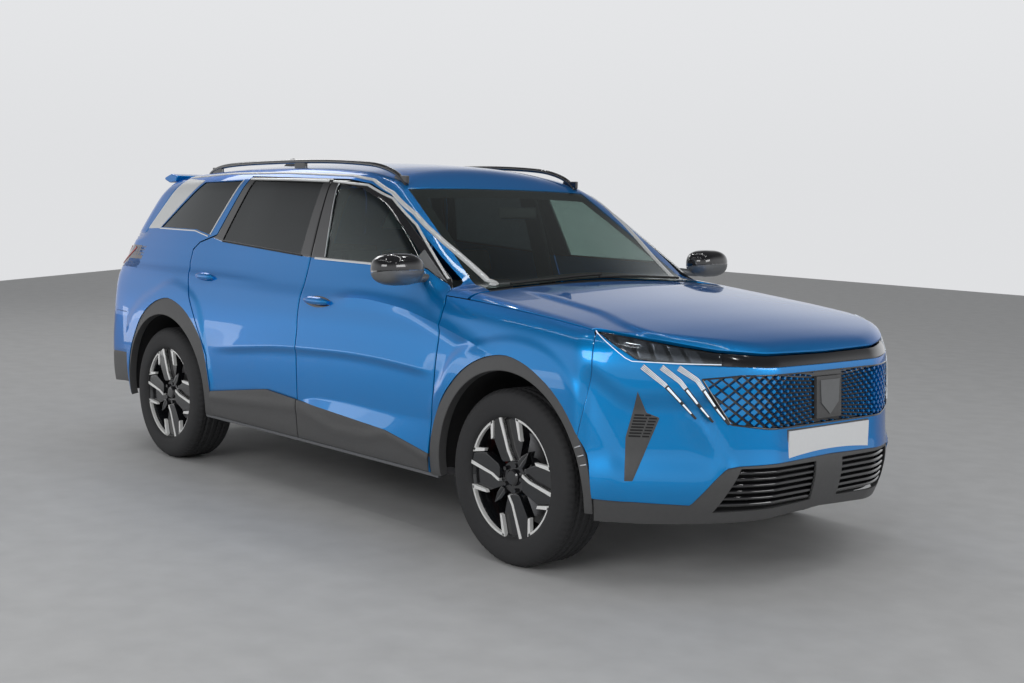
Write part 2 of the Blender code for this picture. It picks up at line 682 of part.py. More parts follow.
def quarter_rows(side):
    """Rows of the whole body side, from the windscreen's foot round the rear corner to the tailgate."""
    stations = [1.112, 1.03, 0.94, 0.80, 0.65, 0.48, 0.33, 0.16, -0.02, -0.25, -0.55, -0.85, -1.05, -1.25,
                -1.41, TAIL_PIVOT_X]
    heights = [SILL_BOTTOM, 0.50, 0.70, 0.88, 1.02, 1.10, 1.185, 1.235, 1.33, 1.44, 1.52]
    top_of = {x: top_points(np.array([x]), np.array([seam_y(x)]))[0, 2] for x in stations}
    rows = []
    for height in heights:
        share = (height - SILL_BOTTOM) / (top_of[stations[-1]] - SILL_BOTTOM)
        row = [side_points(np.array([x]), SILL_BOTTOM + share * (top_of[x] - SILL_BOTTOM), side)[0]
               for x in stations]
        z = SILL_BOTTOM + share * (top_of[stations[-1]] - SILL_BOTTOM)
        edge = line(z, TAIL_SEAM) - math.degrees(SHUT_GAP / 0.9)
        for k in range(1, 6):
            point = tail_points(np.array([edge * k / 5]), z)[0]
            row.append(point * np.array([1.0, side, 1.0]))
        rows.append(row)
    last = [top_points(np.array([x]), np.array([seam_y(x)]))[0] * np.array([1.0, side, 1.0]) for x in stations]
    z = top_of[stations[-1]]
    edge = line(z, TAIL_SEAM) - math.degrees(SHUT_GAP / 0.9)
    for k in range(1, 6):
        last.append(tail_points(np.array([edge * k / 5]), z - 0.006 * k)[0] * np.array([1.0, side, 1.0]))
    rows.append(last)
    return np.array(rows)


def wheel_opening(name, axle_x, side, radius=ARCH_RADIUS):
    outline = circle(axle_x, axle_z() + ARCH_LIFT, radius)
    return prism(name, outline, 0.60 * side, 1.2 * side)


def body_side(side):
    """Body side: pillars, cantrail, rear quarter, posts and sill, with its openings cut."""
    name = name_of("body_side", side)
    panel = sheet(name, quarter_rows(side), FRAME_THICKNESS, PAINT)
    join(panel, arch_ring(f"{name} ring", REAR_AXLE_X, REAR_RING, -6, 186, side))
    doors = grown(door_outline(REAR_LINE, FRONT_LINE), SHUT_GAP)
    count = len(REAR_LINE)
    rear = doors[:count]
    front = [p for p in doors[count:] if p[1] > 1.09]
    wing_corner = [(line(1.084, FRONT_LINE_GROWN), 1.084), (1.30, 1.084), (1.30, 0.20), (rear[0][0], 0.20)]
    opening = rear + front + wing_corner
    cut(panel, prism(f"{name} opening", opening, 0.3 * side, 1.3 * side))
    cut(panel, wheel_opening(f"{name} arch", REAR_AXLE_X, side))
    cut(panel, prism(f"{name} quarter", QUARTER_WINDOW, 0.3 * side, 1.2 * side))
    cut(panel, tail_lamp_space(side, f"{name} lamp space"))
    cut(panel, rear_bumper_space(f"{name} bumper space"))
    heights = [SILL_BOTTOM, 0.55, 0.80, 1.06]
    x = door_axis(FRONT_LINE)[0]
    join(panel, post(f"{name} front post", x - 0.030, 1.045, heights, [POST_DEPTH] * 4, side))
    join(panel, side_block(f"{name} pillar foot", side, (1.005, 1.045), (0.720, 0.800), (0.900, 1.098)))
    heights = [SILL_BOTTOM, 0.55, 0.80, 1.02, 1.10, 1.19, 1.40, 1.576]
    depths = [POST_DEPTH] * 5 + [0.040, 0.026, 0.022]
    join(panel, post(f"{name} centre post", -0.215, -0.085, heights, depths, side))
    sill = (SILL_BOTTOM, SILL_TOP)
    join(panel, side_block(f"{name} sill", side, (-1.000, 1.040), (SILL_INNER_Y, 0.828), sill))
    join(panel, side_block(f"{name} sill end", side, (-1.000, -0.935), (0.800, 0.875), sill))
    for edge_line in (FRONT_LINE, CENTRE_LINE):
        door_hinges(f"{name} {edge_line[0][1]}", edge_line, side, frame=panel)
    glass_rows = quarter_rows(side)[6:, 11:19]
    glass = sheet(name_of("quarter_glass", side), sunk(glass_rows, GLASS_DEPTH), GLASS_THICKNESS, TINTED)
    keep(glass, prism(f"{name} glass", grown(QUARTER_WINDOW, -SEAT_GAP), 0.3 * side, 1.2 * side))
    return panel


def spread(low, high, count, before=0.0, after=0.0):
    """Evenly spaced values, with the two ends moved outward."""
    values = across(low, high, count)
    values[0] -= before
    values[-1] += after
    return values


def tail_lamp(side):
    """A tail lamp round the rear corner."""
    angles = across(TAIL_LAMP_START, TAIL_LAMP_END, 7)
    rows = [tail_points(angles, z) * np.array([1, side, 1]) for z in (TAIL_LAMP_LOW, 1.10, TAIL_LAMP_TOP)]
    return sheet(name_of("tail_lamp", side), rows, BUMPER_THICKNESS, RED_LAMP)


def tail_lamp_space(side, name):
    """The room for a tail lamp, open towards the tailgate."""
    angles = spread(TAIL_LAMP_START, TAIL_LAMP_END, 7, math.degrees(SEAM_GAP))
    angles = np.append(angles, TAIL_LAMP_END + 8.0)
    heights = (TAIL_LAMP_LOW - SEAM_GAP, 1.10, TAIL_LAMP_TOP + SEAM_GAP)
    rows = [tail_points(angles, z) * np.array([1, side, 1]) for z in heights]
    return sheet(name, rows, FRAME_THICKNESS + 0.01, RED_LAMP, parts=False, rise=0.01)


def rear_bumper():
    """The rear bumper round the tail."""
    angles = across(REAR_BUMPER_START, 180 - REAR_BUMPER_START, 21)
    rows = [tail_points(angles, z) for z in across(REAR_BUMPER_LOW, REAR_BUMPER_TOP, 6)]
    return sheet("rear_bumper", rows, BUMPER_THICKNESS, PAINT)


def rear_bumper_space(name):
    """The room for the rear bumper, open downward."""
    grow = math.degrees(SEAM_GAP)
    angles = spread(REAR_BUMPER_START, 180 - REAR_BUMPER_START, 21, grow, grow)
    heights = [REAR_BUMPER_LOW - 0.05] + list(spread(REAR_BUMPER_LOW, REAR_BUMPER_TOP, 6, after=SEAM_GAP))
    rows = [tail_points(angles, z) for z in heights]
    return sheet(name, rows, FRAME_THICKNESS + 0.04, PAINT, parts=False, rise=0.01)


def wing(side):
    """Front wing: from the door to the bumper and up to the bonnet."""
    name = name_of("front_wing", side)
    rows = []
    for share in [0.0, 0.2, 0.4, 0.58, 0.74, 0.88, 1.0]:
        row = []
        for along in across(0.0, 1.0, 11):
            guess = 1.0 + along * 0.93
            edge = top_points(np.array([guess]), np.array([BONNET_EDGE_Y + SHUT_GAP]))[0, 2]
            z = SILL_BOTTOM + 0.005 + share * (edge - SILL_BOTTOM - 0.005)
            front = nose_points(line(z, WING_SEAM) - 1.5, z)[0]
            rear = line(z, FRONT_LINE_AHEAD)
            x = rear + along * (front - rear)
            if share == 1.0:
                row.append(top_points(np.array([x]), np.array([BONNET_EDGE_Y + SHUT_GAP]))[0])
            else:
                row.append(side_points(np.array([x]), np.array([z]), 1)[0])
        rows.append(row)
    rows = np.array(rows) * np.array([1.0, side, 1.0])
    panel = sheet(name, rows, WING_THICKNESS, PAINT)
    cut(panel, wheel_opening(f"{name} arch", FRONT_AXLE_X, side))
    join(panel, side_block(f"{name} flange", side, (1.44, 1.53), (TOWER_Y + SEAT_GAP, 0.926), (0.812, TOWER_TOP)))
    space = []
    for z in sorted([0.15, 0.935] + nose_heights()):
        edge = line(z, WING_SEAM) + math.degrees(SEAM_GAP * 1.4)
        space.append(nose_points(across(edge, edge - 24.0, 5), z) * np.array([1.0, side, 1.0]))
    space.append(space[-1] + np.array([0.0, 0.0, 0.08]))
    join(panel, arch_ring(f"{name} ring", FRONT_AXLE_X, FRONT_RING, *WING_RING, side))
    cut(panel, sheet(f"{name} nose space", space, WING_THICKNESS + 0.012, PAINT, parts=False, rise=0.008))
    return panel


def bonnet():
    """Bonnet: from the windscreen's foot to the lamps, with its two hinge arms at the rear."""
    angles = across(0.0, 58.0, 40)
    edge = nose_points(angles, line(angles, LAMP_TOP) + SHUT_GAP)
    columns = across(-1.0, 1.0, 13)
    rows = []
    for share in across(0.0, 1.0, 8):
        row = []
        for c in columns:
            half = BONNET_EDGE_Y - BONNET_CORNER * (1.0 - share) ** 3
            y = half * math.copysign(abs(c) ** 0.85, c) if c else 0.0
            front = np.interp(abs(y), edge[:, 1], edge[:, 0])
            x = BONNET_REAR_X + share * (front - BONNET_REAR_X)
            row.append(top_points(np.array([x]), np.array([y]))[0])
        rows.append(row)
    panel = sheet("bonnet", rows, WING_THICKNESS, PAINT)
    bonnet_hinges(lid=panel)
    x, z = bonnet_axis()
    pivot("bonnet_axis", (x, 0.0, z), panel)


def bonnet_axis():
    x = BONNET_REAR_X + HINGE_SET_BACK
    return x, top_points(np.array([x]), np.array([BONNET_HINGE_Y]))[0, 2] - HINGE_DEPTH


def bonnet_hinges(lid=None, frame=None):
    """The bonnet's hinge axis lies inside its rear edge."""
    x, z = bonnet_axis()
    for side in (-1, 1):
        hinge(f"bonnet hinge {side}", lid, frame, (x, side * BONNET_HINGE_Y, z), (0, 1, 0), (0, 0, -1),
              (-1, 0, 0), z - COWL_TOP + 0.012)


def nose_heights():
    """Heights of the bumper's rows where it meets the wing."""
    return list(across(line(LOW_SEAM, BUMPER_LOW), line(56.0, LAMP_LOW) - SEAM_GAP, NOSE_ROWS))


def vent_recess(side):
    """The tall narrow recess at the bumper's corner."""
    rows = [nose_points(np.array([inner, outer]), z) * np.array([1.0, side, 1.0]) for z, inner, outer in VENT]
    return sheet(f"vent recess {side}", rows, VENT_DEPTH, CLADDING, parts=False, rise=0.010)


def claws(side):
    """Three slanted lamp strips, standing a little proud of the bumper."""
    made = []
    for k, path in enumerate(CLAWS):
        rows = [nose_points(np.array([angle - CLAW_WIDTH / 2, angle + CLAW_WIDTH / 2]), z)
                * np.array([1.0, side, 1.0]) for angle, z in path]
        made.append(sheet(f"claw {side} {k}", rows, BUMPER_THICKNESS / 2, LAMP, parts=False, rise=CLAW_RISE))
    return made


def within(a, b, outline):
    """Whether a point lies inside an outline."""
    count = 0
    for (a0, b0), (a1, b1) in zip(outline, outline[1:] + outline[:1]):
        if (b0 > b) != (b1 > b) and a < a0 + (b - b0) * (a1 - a0) / (b1 - b0):
            count += 1
    return count % 2 == 1


def diamonds():
    """The grille's pattern: staggered diamonds that shrink towards the middle."""
    bm = bmesh.new()
    room = grown(GRILLE_OUTLINE, -DIAMOND_HEIGHT * 0.30)
    for row in range(-2, 3):
        for column in range(-8, 9):
            y = (column + (0.5 if row % 2 else 0.0)) * DIAMOND_WIDTH
            z = 0.739 + row * DIAMOND_HEIGHT / 2
            if not within(y, z, room) or abs(y) < BADGE_HALF:
                continue
            size = 0.45 + 0.40 * abs(y) / 0.6
            point = on_body(stack(NOSE_PIVOT_X, y, z), (1.0, 0.0, 0.0))
            outward = Vector(normals(point[None])[0])
            across_y = Vector((0, 0, 1)).cross(outward).normalized()
            turn = Matrix((across_y, outward.cross(across_y), outward)).transposed().to_4x4()
            made = bmesh.ops.create_cone(bm, cap_ends=True, segments=4, radius1=0.5, radius2=0.36,
                                         depth=2 * DIAMOND_RISE)
            scale = Matrix.Diagonal((DIAMOND_WIDTH * size, DIAMOND_HEIGHT * size, 1.0, 1.0))
            place = Matrix.Translation(Vector(point) - outward * GRILLE_DEPTH) @ turn @ scale
            bmesh.ops.transform(bm, matrix=place, verts=made["verts"])
    return object_from(bm, "diamonds", PAINT, parts=False)


def nose_panels():
    """Front bumper, lower bumper, grille and the lamp bar."""
    angles = NOSE_ANGLES
    low = line(np.abs(angles), BUMPER_LOW)
    top = line(np.abs(angles), LAMP_LOW) - SEAM_GAP
    rows = []
    for share, seam_z in zip(across(0.0, 1.0, NOSE_ROWS), nose_heights()):
        row = nose_points(angles, low + share * (top - low))
        seam = line(seam_z, WING_SEAM)
        rows.append(np.concatenate([nose_points([-seam], seam_z), row, nose_points([seam], seam_z)]))
    bumper = sheet("front_bumper", rows, BUMPER_THICKNESS, PAINT)
    for side in (-1, 1):
        join(bumper, *claws(side), arch_ring(f"bumper ring {side}", FRONT_AXLE_X, FRONT_RING, *BUMPER_RING, side))
        cut(bumper, wheel_opening(f"bumper arch {side}", FRONT_AXLE_X, side), vent_recess(side))
    cut(bumper, prism("grille opening", GRILLE_OUTLINE, 1.9, 2.6, plane="yz"))
    angles = np.concatenate([[-LOW_SEAM], NOSE_ANGLES, [LOW_SEAM]])
    lower_rows = []
    for share in across(0.0, 1.0, 3):
        low = line(np.abs(angles), LIP_LOW)
        top = line(np.abs(angles), BUMPER_LOW) - SEAM_GAP
        lower_rows.append(nose_points(angles, low + share * (top - low)))
    lower = sheet("lower_bumper", lower_rows, BUMPER_THICKNESS, CLADDING)
    for side in (-1, 1):
        cut(lower, wheel_opening(f"lower bumper arch {side}", FRONT_AXLE_X, side))
        for k in range(INTAKE_SLOTS):
            z = INTAKE_LOW + k * INTAKE_STEP
            outer = 0.560 - (z - INTAKE_LOW) * 0.6
            low = (1.95, min(side * 0.10, side * outer), z)
            high = (2.60, max(side * 0.10, side * outer), z + INTAKE_SLOT)
            cut(lower, block(f"intake slot {side} {k}", low, high))
    grille_angles = across(-34.0, 34.0, 15)
    grille_rows = [nose_points(grille_angles, z) for z in across(0.60, 0.86, 3)]
    grille = sheet("grille", sunk(np.array(grille_rows), GRILLE_DEPTH), GRILLE_THICKNESS, GLOSS_BLACK)
    join(grille, diamonds())
    keep(grille, prism("grille outline", grown(GRILLE_OUTLINE, -SEAT_GAP), 1.9, 2.6, plane="yz"))
    bar_angles = NOSE_ANGLES
    bar_rows = []
    for share in across(0.0, 1.0, 3):
        low = line(np.abs(bar_angles), LAMP_LOW)
        top = line(np.abs(bar_angles), LAMP_TOP)
        bar_rows.append(nose_points(bar_angles, low + share * (top - low)))
    sheet("headlamp_bar", bar_rows, BUMPER_THICKNESS, LAMP)


def screens_and_roof():
    """Windscreen, roof with its rails and aerial."""
    rows = []
    for x in across(SCREEN_BASE_X, SCREEN_TOP_X + SEAM_GAP, 6):
        half = seam_y(x) - SEAM_GAP
        rows.append(top_points(x, across(-half, half, 9)))
    sheet("windscreen", rows, GLASS_THICKNESS, CLEAR)
    rows = []
    for x in [SCREEN_TOP_X - SEAM_GAP, 0.16, -0.02, -0.25, -0.55, -0.85, -1.05, -1.25, -1.41, TAIL_PIVOT_X,
              ROOF_REAR_X]:
        half = seam_y(x) - SEAM_GAP * 1.5
        rows.append(top_points(x, across(-half, half, 9)))
    roof = sheet("roof", rows, FRAME_THICKNESS, PAINT)
    for side in (-1, 1):
        y = side * 0.555
        for x in (0.36 - 0.10, -0.55, -1.50):
            foot = top_points(np.array([x]), np.array([y]))[0, 2]
            join(roof, block(f"rail foot {side} {x}", (x - 0.05, y - 0.014, foot - 0.02),
                             (x + 0.05, y + 0.014, foot + 0.022)))
        base = [top_points(np.array([x]), np.array([y]))[0, 2] for x in (0.31, -0.15, -0.60, -1.05, -1.55)]
        outline = [(x, z + 0.012) for x, z in zip((0.31, -0.15, -0.60, -1.05, -1.55), base)]
        outline += [(-1.52, base[4] + 0.034), (-1.05, base[3] + 0.038), (-0.60, base[2] + 0.038),
                    (-0.15, base[1] + 0.038), (0.24, base[0] + 0.040)]
        join(roof, prism(f"rail {side}", outline, y - 0.014, y + 0.014))
    crown = top_points(np.array([-1.50]), np.array([0.0]))[0, 2]
    fin = [(-1.640, crown - 0.010), (-1.430, crown - 0.010), (-1.540, FIN_TOP), (-1.590, FIN_TOP)]
    join(roof, prism("aerial fin", fin, -0.014, 0.014))
    tailgate_hinges(frame=roof)
    bracket = roof_height(tailgate_hinge_x()) - FRAME_THICKNESS - 0.030
    for side in (-1, 1):
        y = side * TAILGATE_HINGE_Y
        join(roof, block(f"hinge bracket {side}", (tailgate_hinge_x() - 0.004, y - 0.014, bracket - 0.010),
                         (ROOF_REAR_X + 0.060, y + 0.014, bracket)))
        join(roof, block(f"hinge foot {side}", (ROOF_REAR_X + 0.030, y - 0.014, bracket - 0.010),
                         (ROOF_REAR_X + 0.060, y + 0.014, bracket + 0.040)))
    return roof


def roof_height(x):
    return top_points(np.array([x]), np.array([TAILGATE_HINGE_Y]))[0, 2]


def tailgate_hinge_x():
    return ROOF_REAR_X - SHUT_GAP - HINGE_SET_BACK


def tailgate_hinges(lid=None, frame=None):
    """The tailgate's hinge axis lies inside its leading edge, under the rear end of the roof."""
    x = tailgate_hinge_x()
    z = roof_height(x) - HINGE_DEPTH
    for side in (-1, 1):
        hinge(f"tailgate hinge {side}", lid, frame, (x, side * TAILGATE_HINGE_Y, z), (0, 1, 0), (0, 0, -1),
              (1, 0, 0), FRAME_THICKNESS - HINGE_DEPTH + 0.036)


def tailgate():
    """Tailgate with its spoiler lip, hinge pins and separate glass."""
    rows = []
    heights = [TAILGATE_LOW, 0.90, 1.02, 1.10, 1.185, 1.235, 1.33, 1.44, TAILGATE_TOP]
    for z in heights:
        edge = line(z, TAIL_SEAM)
        rows.append(tail_points(across(edge, 180 - edge, 17), z))
    panel = sheet("tailgate", rows, FRAME_THICKNESS, PAINT)
    lid_rows = []
    half = across(-0.585, 0.585, 7)
    for share in across(0.0, 1.0, 5):
        lead = ROOF_REAR_X - SHUT_GAP - TAILGATE_SET_BACK * (1.0 - (half / 0.585) ** 2)
        lid_rows.append(top_points(lead + share * (-2.000 - lead), half))
    join(panel, sheet("tailgate lid", lid_rows, FRAME_THICKNESS, PAINT, parts=False))
    spoiler = [(-1.900, 1.570), (-1.960, 1.583), (-2.040, 1.560), (-2.040, 1.543), (-1.950, 1.530)]
    join(panel, prism("spoiler", spoiler, -0.570, 0.570))
    tailgate_hinges(lid=panel)
    window = [(-0.520, 1.270), (0.520, 1.270), (0.470, 1.500), (-0.470, 1.500)]
    cut(panel, prism("tailgate window", window, -2.6, -1.2, plane="yz"))
    glass = sheet("tailgate_glass", sunk(np.array(rows[4:]), GLASS_DEPTH), GLASS_THICKNESS, TINTED)
    keep(glass, prism("tailgate glass outline", grown(window, -SEAT_GAP), -2.6, -1.2, plane="yz"))
    x = tailgate_hinge_x()
    pivot("tailgate_axis", (x, 0.0, roof_height(x) - HINGE_DEPTH), panel, glass)


def wheel(word, axle_x, side):
    """Tyre, and the wheel with its spokes, hub and brake disc."""
    axle = Vector((axle_x, side * TRACK_HALF, axle_z()))
    half = TYRE_WIDTH / 2
    wall = TYRE_RADIUS - RIM_RADIUS
    shoulder = wall * 0.18
    bead = wall * 0.10
    profile = [(TYRE_RADIUS, half - shoulder), (TYRE_RADIUS, -half + shoulder),
               (TYRE_RADIUS - shoulder, -half + 0.004), (TYRE_RADIUS - wall / 2, -half),
               (RIM_RADIUS + bead, -half + 0.012), (RIM_RADIUS, -half + 0.022),
               (RIM_RADIUS, half - 0.022), (RIM_RADIUS + bead, half - 0.012),
               (TYRE_RADIUS - wall / 2, half), (TYRE_RADIUS - shoulder, half - 0.004)]
    turned(f"{word}_tyre", profile, axle, RUBBER)
    barrel = RIM_RADIUS - SEAT_GAP
    width = RIM_WIDTH / 2 - 0.008
    profile = [(barrel, width), (barrel, -width), (barrel - 0.012, -width), (barrel - 0.020, width)]
    rim = turned(f"{word}_wheel", profile, axle, ALLOY)
    hub = rod(f"{word} hub", axle + Vector((0, -side * HUB_INNER, 0)), axle + Vector((0, side * 0.075, 0)), 0.070,
              sides=16)
    disc = rod(f"{word} disc", axle + Vector((0, -side * 0.052, 0)), axle + Vector((0, -side * 0.030, 0)),
               DISC_RADIUS, sides=24)
    join(rim, hub, disc)
    reach = barrel - 0.006
    for k in range(4):
        for kind, outline, low, high in (("blade", WHEEL_BLADE, 0.040, 0.078), ("spoke", WHEEL_SPOKE, 0.030, 0.062)):
            points = [wheel_point(r * reach, a, k, side) for r, a in outline]
            spoke = prism(f"{word} {kind} {k}", points, side * low, side * high)
            spoke.matrix_world = Matrix.Translation(axle)
            join(rim, spoke)
    return rim


def wheel_point(radius, angle, quarter, side):
    """A place on the wheel's face: the pattern repeats, mirrored, in each quarter from one slant line."""
    mirrored, half_turn = quarter % 2, quarter // 2
    turn = math.radians(WHEEL_SLANT + (angle if mirrored else -angle) + 180 * half_turn)
    return -side * radius * math.cos(turn), radius * math.sin(turn)


def turned(name, profile, centre, look, steps=WHEEL_STEPS, parts=True, turn=None):
    """A ring turned about +Y, with a flat of its polygon at the bottom."""
    bm = bmesh.new()
    start = math.pi / steps
    ring = [bm.verts.new((r * math.sin(start), w, r * math.cos(start))) for r, w in profile]
    edges = [bm.edges.new((ring[i - 1], ring[i])) for i in range(len(ring))]
    bmesh.ops.spin(bm, geom=ring + edges, axis=(0, 1, 0), cent=(0, 0, 0), steps=steps,
                   angle=2 * math.pi, use_merge=True)
    bmesh.ops.remove_doubles(bm, verts=bm.verts, dist=1e-5)
    obj = object_from(bm, name, look, parts)
    obj.matrix_world = Matrix.Translation(centre) @ (turn or Matrix.Identity(4))
    return obj


def steering_frame():
    """Centre of the steering wheel, its axis towards the driver, and the turn from +Y to that axis."""
    tilt = math.radians(STEERING_TILT)
    axis = Vector((-math.cos(tilt), 0.0, math.sin(tilt)))
    turn = Vector((0, 1, 0)).rotation_difference(axis).to_matrix().to_4x4()
    return Vector((STEERING_X, STEERING_Y, STEERING_Z)), axis, turn


def steering_wheel():
    """Rim, hub and spokes; its column is part of the dashboard."""
    centre, axis, turn = steering_frame()
    rim = circle(STEERING_RADIUS, 0.0, 0.015, sides=6)
    wheel_rim = turned("steering_wheel", rim, centre, TRIM, steps=20, turn=turn)
    hub = rod("steering hub", centre - axis * 0.035, centre + axis * 0.010, 0.055, sides=16)
    join(wheel_rim, hub)
    for k, angle in enumerate((0, 180, 270)):
        spoke = block(f"steering spoke {k}", (-0.020, -0.008, -0.168), (0.020, 0.006, -0.030))
        spoke.matrix_world = Matrix.Translation(centre) @ turn @ Matrix.Rotation(math.radians(angle), 4, "Y")
        join(wheel_rim, spoke)
    return wheel_rim


def knuckle(side):
    """Front upright: hub carrier, strut up to the tower and pin down to the lower arm."""
    name = name_of("knuckle", side)
    z = axle_z()
    hub_face = TRACK_HALF - HUB_INNER - SEAT_GAP
    carrier = rod(name, (FRONT_AXLE_X, side * (TRACK_HALF - 0.160), z), (FRONT_AXLE_X, side * hub_face, z),
                  HUB_RADIUS, STEEL, parts=True, sides=20)
    strut = rod(f"{name} strut", (FRONT_AXLE_X, side * STRUT_Y, 0.215), (FRONT_AXLE_X, side * STRUT_Y, 0.790),
                STRUT_RADIUS)
    return join(carrier, strut)


def underbody():
    """Floor, firewall, cowl, inner wings, wheelhouses and the boot floor."""
    half = SILL_INNER_Y - SEAM_GAP
    front = INNER_WING_Y - 0.010
    rear = WHEELHOUSE_Y
    floor = block("underbody", (-0.93, -half, FLOOR_BOTTOM), (1.06, half, FLOOR_TOP), TRIM, parts=True)
    pieces = [
        block("tunnel front", (1.00, -front, FLOOR_BOTTOM), (2.18, front, FLOOR_TOP)),
        block("boot floor", (-2.20, -rear, BOOT_FLOOR - 0.030), (-0.90, rear, BOOT_FLOOR)),
        block("boot step", (-0.93, -rear, FLOOR_BOTTOM), (-0.90, rear, BOOT_FLOOR)),
        block("firewall", (1.03, -half, FLOOR_BOTTOM), (1.06, half, 1.045)),
        block("cowl", (1.045, -0.685, 1.010), (1.190, 0.685, COWL_TOP)),
        block("scuttle", (1.045, -0.600, 1.020), (1.060, 0.600, 1.090)),
        block("radiator panel", (2.15, -front, FLOOR_BOTTOM), (2.18, front, 0.820)),
        block("tail panel", (-2.20, -rear, 0.300), (-2.17, rear, 0.760)),
    ]
    for side in (-1, 1):
        pieces.append(side_block(f"inner wing {side}", side, (1.04, 2.18), (INNER_WING_Y - 0.025, INNER_WING_Y),
                                 (FLOOR_BOTTOM, 0.880)))
        pieces.append(side_block(f"strut tower {side}", side, (1.38, 1.60), (INNER_WING_Y - 0.025, TOWER_Y),
                                 (0.7904, TOWER_TOP)))
        pieces.append(side_block(f"wheelhouse wall {side}", side, (-1.90, -0.92), (rear - 0.040, rear),
                                 (0.440, 0.860)))
    join(floor, *pieces)
    bonnet_hinges(frame=floor)
    return floor


def running_gear():
    """Front subframe with its lower arms, the rear axle and the engine block."""
    subframe = block("front_subframe", (1.30, -0.42, 0.175), (1.66, 0.42, 0.2496), STEEL, parts=True)
    for side in (-1, 1):
        ball = side * (TRACK_HALF - 0.110)
        outline = [(1.36, side * 0.40), (1.61, side * 0.40), (FRONT_AXLE_X + 0.07, ball),
                   (FRONT_AXLE_X - 0.07, ball)]
        join(subframe, prism(f"lower arm {side}", outline, 0.190, 0.2146, plane="xy"))
    z = axle_z()
    reach = WHEELHOUSE_Y - 0.040
    beam = block("rear_axle", (-1.30, -reach, 0.300), (-1.20, reach, 0.380), STEEL, parts=True)
    for side in (-1, 1):
        join(beam, side_block(f"trailing arm {side}", side, (-1.46, -0.93 - SEAT_GAP),
                              (WHEELHOUSE_Y - 0.060, WHEELHOUSE_Y + 0.060), (0.310, 0.390)))
        join(beam, rod(f"rear hub {side}", (REAR_AXLE_X, side * WHEELHOUSE_Y, z),
                       (REAR_AXLE_X, side * (TRACK_HALF - HUB_INNER - SEAT_GAP), z), HUB_RADIUS, sides=20))
    block("engine_block", (1.20, -0.40, FLOOR_TOP + SEAT_GAP), (1.95, 0.40, 0.800), STEEL, parts=True, bevel=0.02)


def seat(name, x, y, width, back_top, floor=FLOOR_TOP):
    """A seat: cushion and leaning back in one solid."""
    cushion = max(0.62, floor + 0.20)
    base = block(name, (x - 0.24, y - width / 2, floor + SEAT_GAP), (x + 0.26, y + width / 2, cushion),
                 FABRIC, parts=True, bevel=0.03)
    foot = cushion - 0.06
    outline = [(x - 0.26, foot), (x - 0.12, foot), (x - 0.30, back_top), (x - 0.40, back_top)]
    join(base, prism(f"{name} back", outline, y - width / 2 + 0.01, y + width / 2 - 0.01))
    return base


def interior():
    """Seats, dashboard with its console, and the steering wheel."""
    for side in (-1, 1):
        seat(name_of("seat_front", side), 0.08, side * 0.37, 0.50, 1.16)
    seat("seats_second_row", -0.60, 0.0, 1.10, 1.13)
    seat("seats_third_row", -1.36, 0.0, 1.00, 1.08, floor=BOOT_FLOOR)
    outline = [(0.62, 0.66), (0.98, 0.50), (1.0294, 0.50), (1.0294, 1.00), (0.92, 1.035), (0.70, 0.965), (0.62, 0.86)]
    dash = prism("dashboard", outline, -0.690, 0.690, look=TRIM, parts=True)
    centre, axis, turn = steering_frame()
    join(dash, rod("steering column", centre - axis * (0.035 + SEAT_GAP), centre - axis * 0.26, 0.030, sides=12))
    steering_wheel()
    join(dash, block("console", (0.30, -0.115, FLOOR_TOP + SEAT_GAP), (0.80, 0.115, 0.64)))


def pivot(name, point, *pieces):
    """An empty on a joint's axis that carries the pieces which move about it."""
    empty = bpy.data.objects.new(name, None)
    empty.location = point
    empty.empty_display_size = 0.05
    PARTS.objects.link(empty)
    for piece in pieces:
        piece.parent = empty
        piece.matrix_parent_inverse = Matrix.Translation(point).inverted()


def build():
    for side in (-1, 1):
        body_side(side)
        wing(side)
        panel, glass, front_skin = door("front_door", CENTRE_AHEAD, FRONT_LINE, FRONT_WINDOW, side)
        x, y = door_axis(FRONT_LINE)
        pivot(name_of("front_door_axis", side), (x, side * y, HINGE_HEIGHTS[0]), panel, glass,
              mirror(side, front_skin))
        panel, glass, rear_skin = door("rear_door", REAR_LINE, CENTRE_LINE, REAR_WINDOW, side)
        x, y = door_axis(CENTRE_LINE)
        pivot(name_of("rear_door_axis", side), (x, side * y, HINGE_HEIGHTS[0]), panel, glass)
        tail_lamp(side)
        pivot(name_of("kingpin", side), (FRONT_AXLE_X, side * KINGPIN_Y, axle_z()), knuckle(side))
        wheel(name_of("front", side), FRONT_AXLE_X, side)
        wheel(name_of("rear", side), REAR_AXLE_X, side)
    bonnet()
    nose_panels()
    screens_and_roof()
    tailgate()
    rear_bumper()
    underbody()
    running_gear()
    interior()


build()
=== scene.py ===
"""Looks of the five-door SUV: smooth panels, glass, lamps, wheels, seats and studio.

Metres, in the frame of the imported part: +X forward, +Y the car's left, +Z up, origin on the ground.
"""

import math

import bmesh
import bpy
import numpy as np
from mathutils import Matrix, Vector


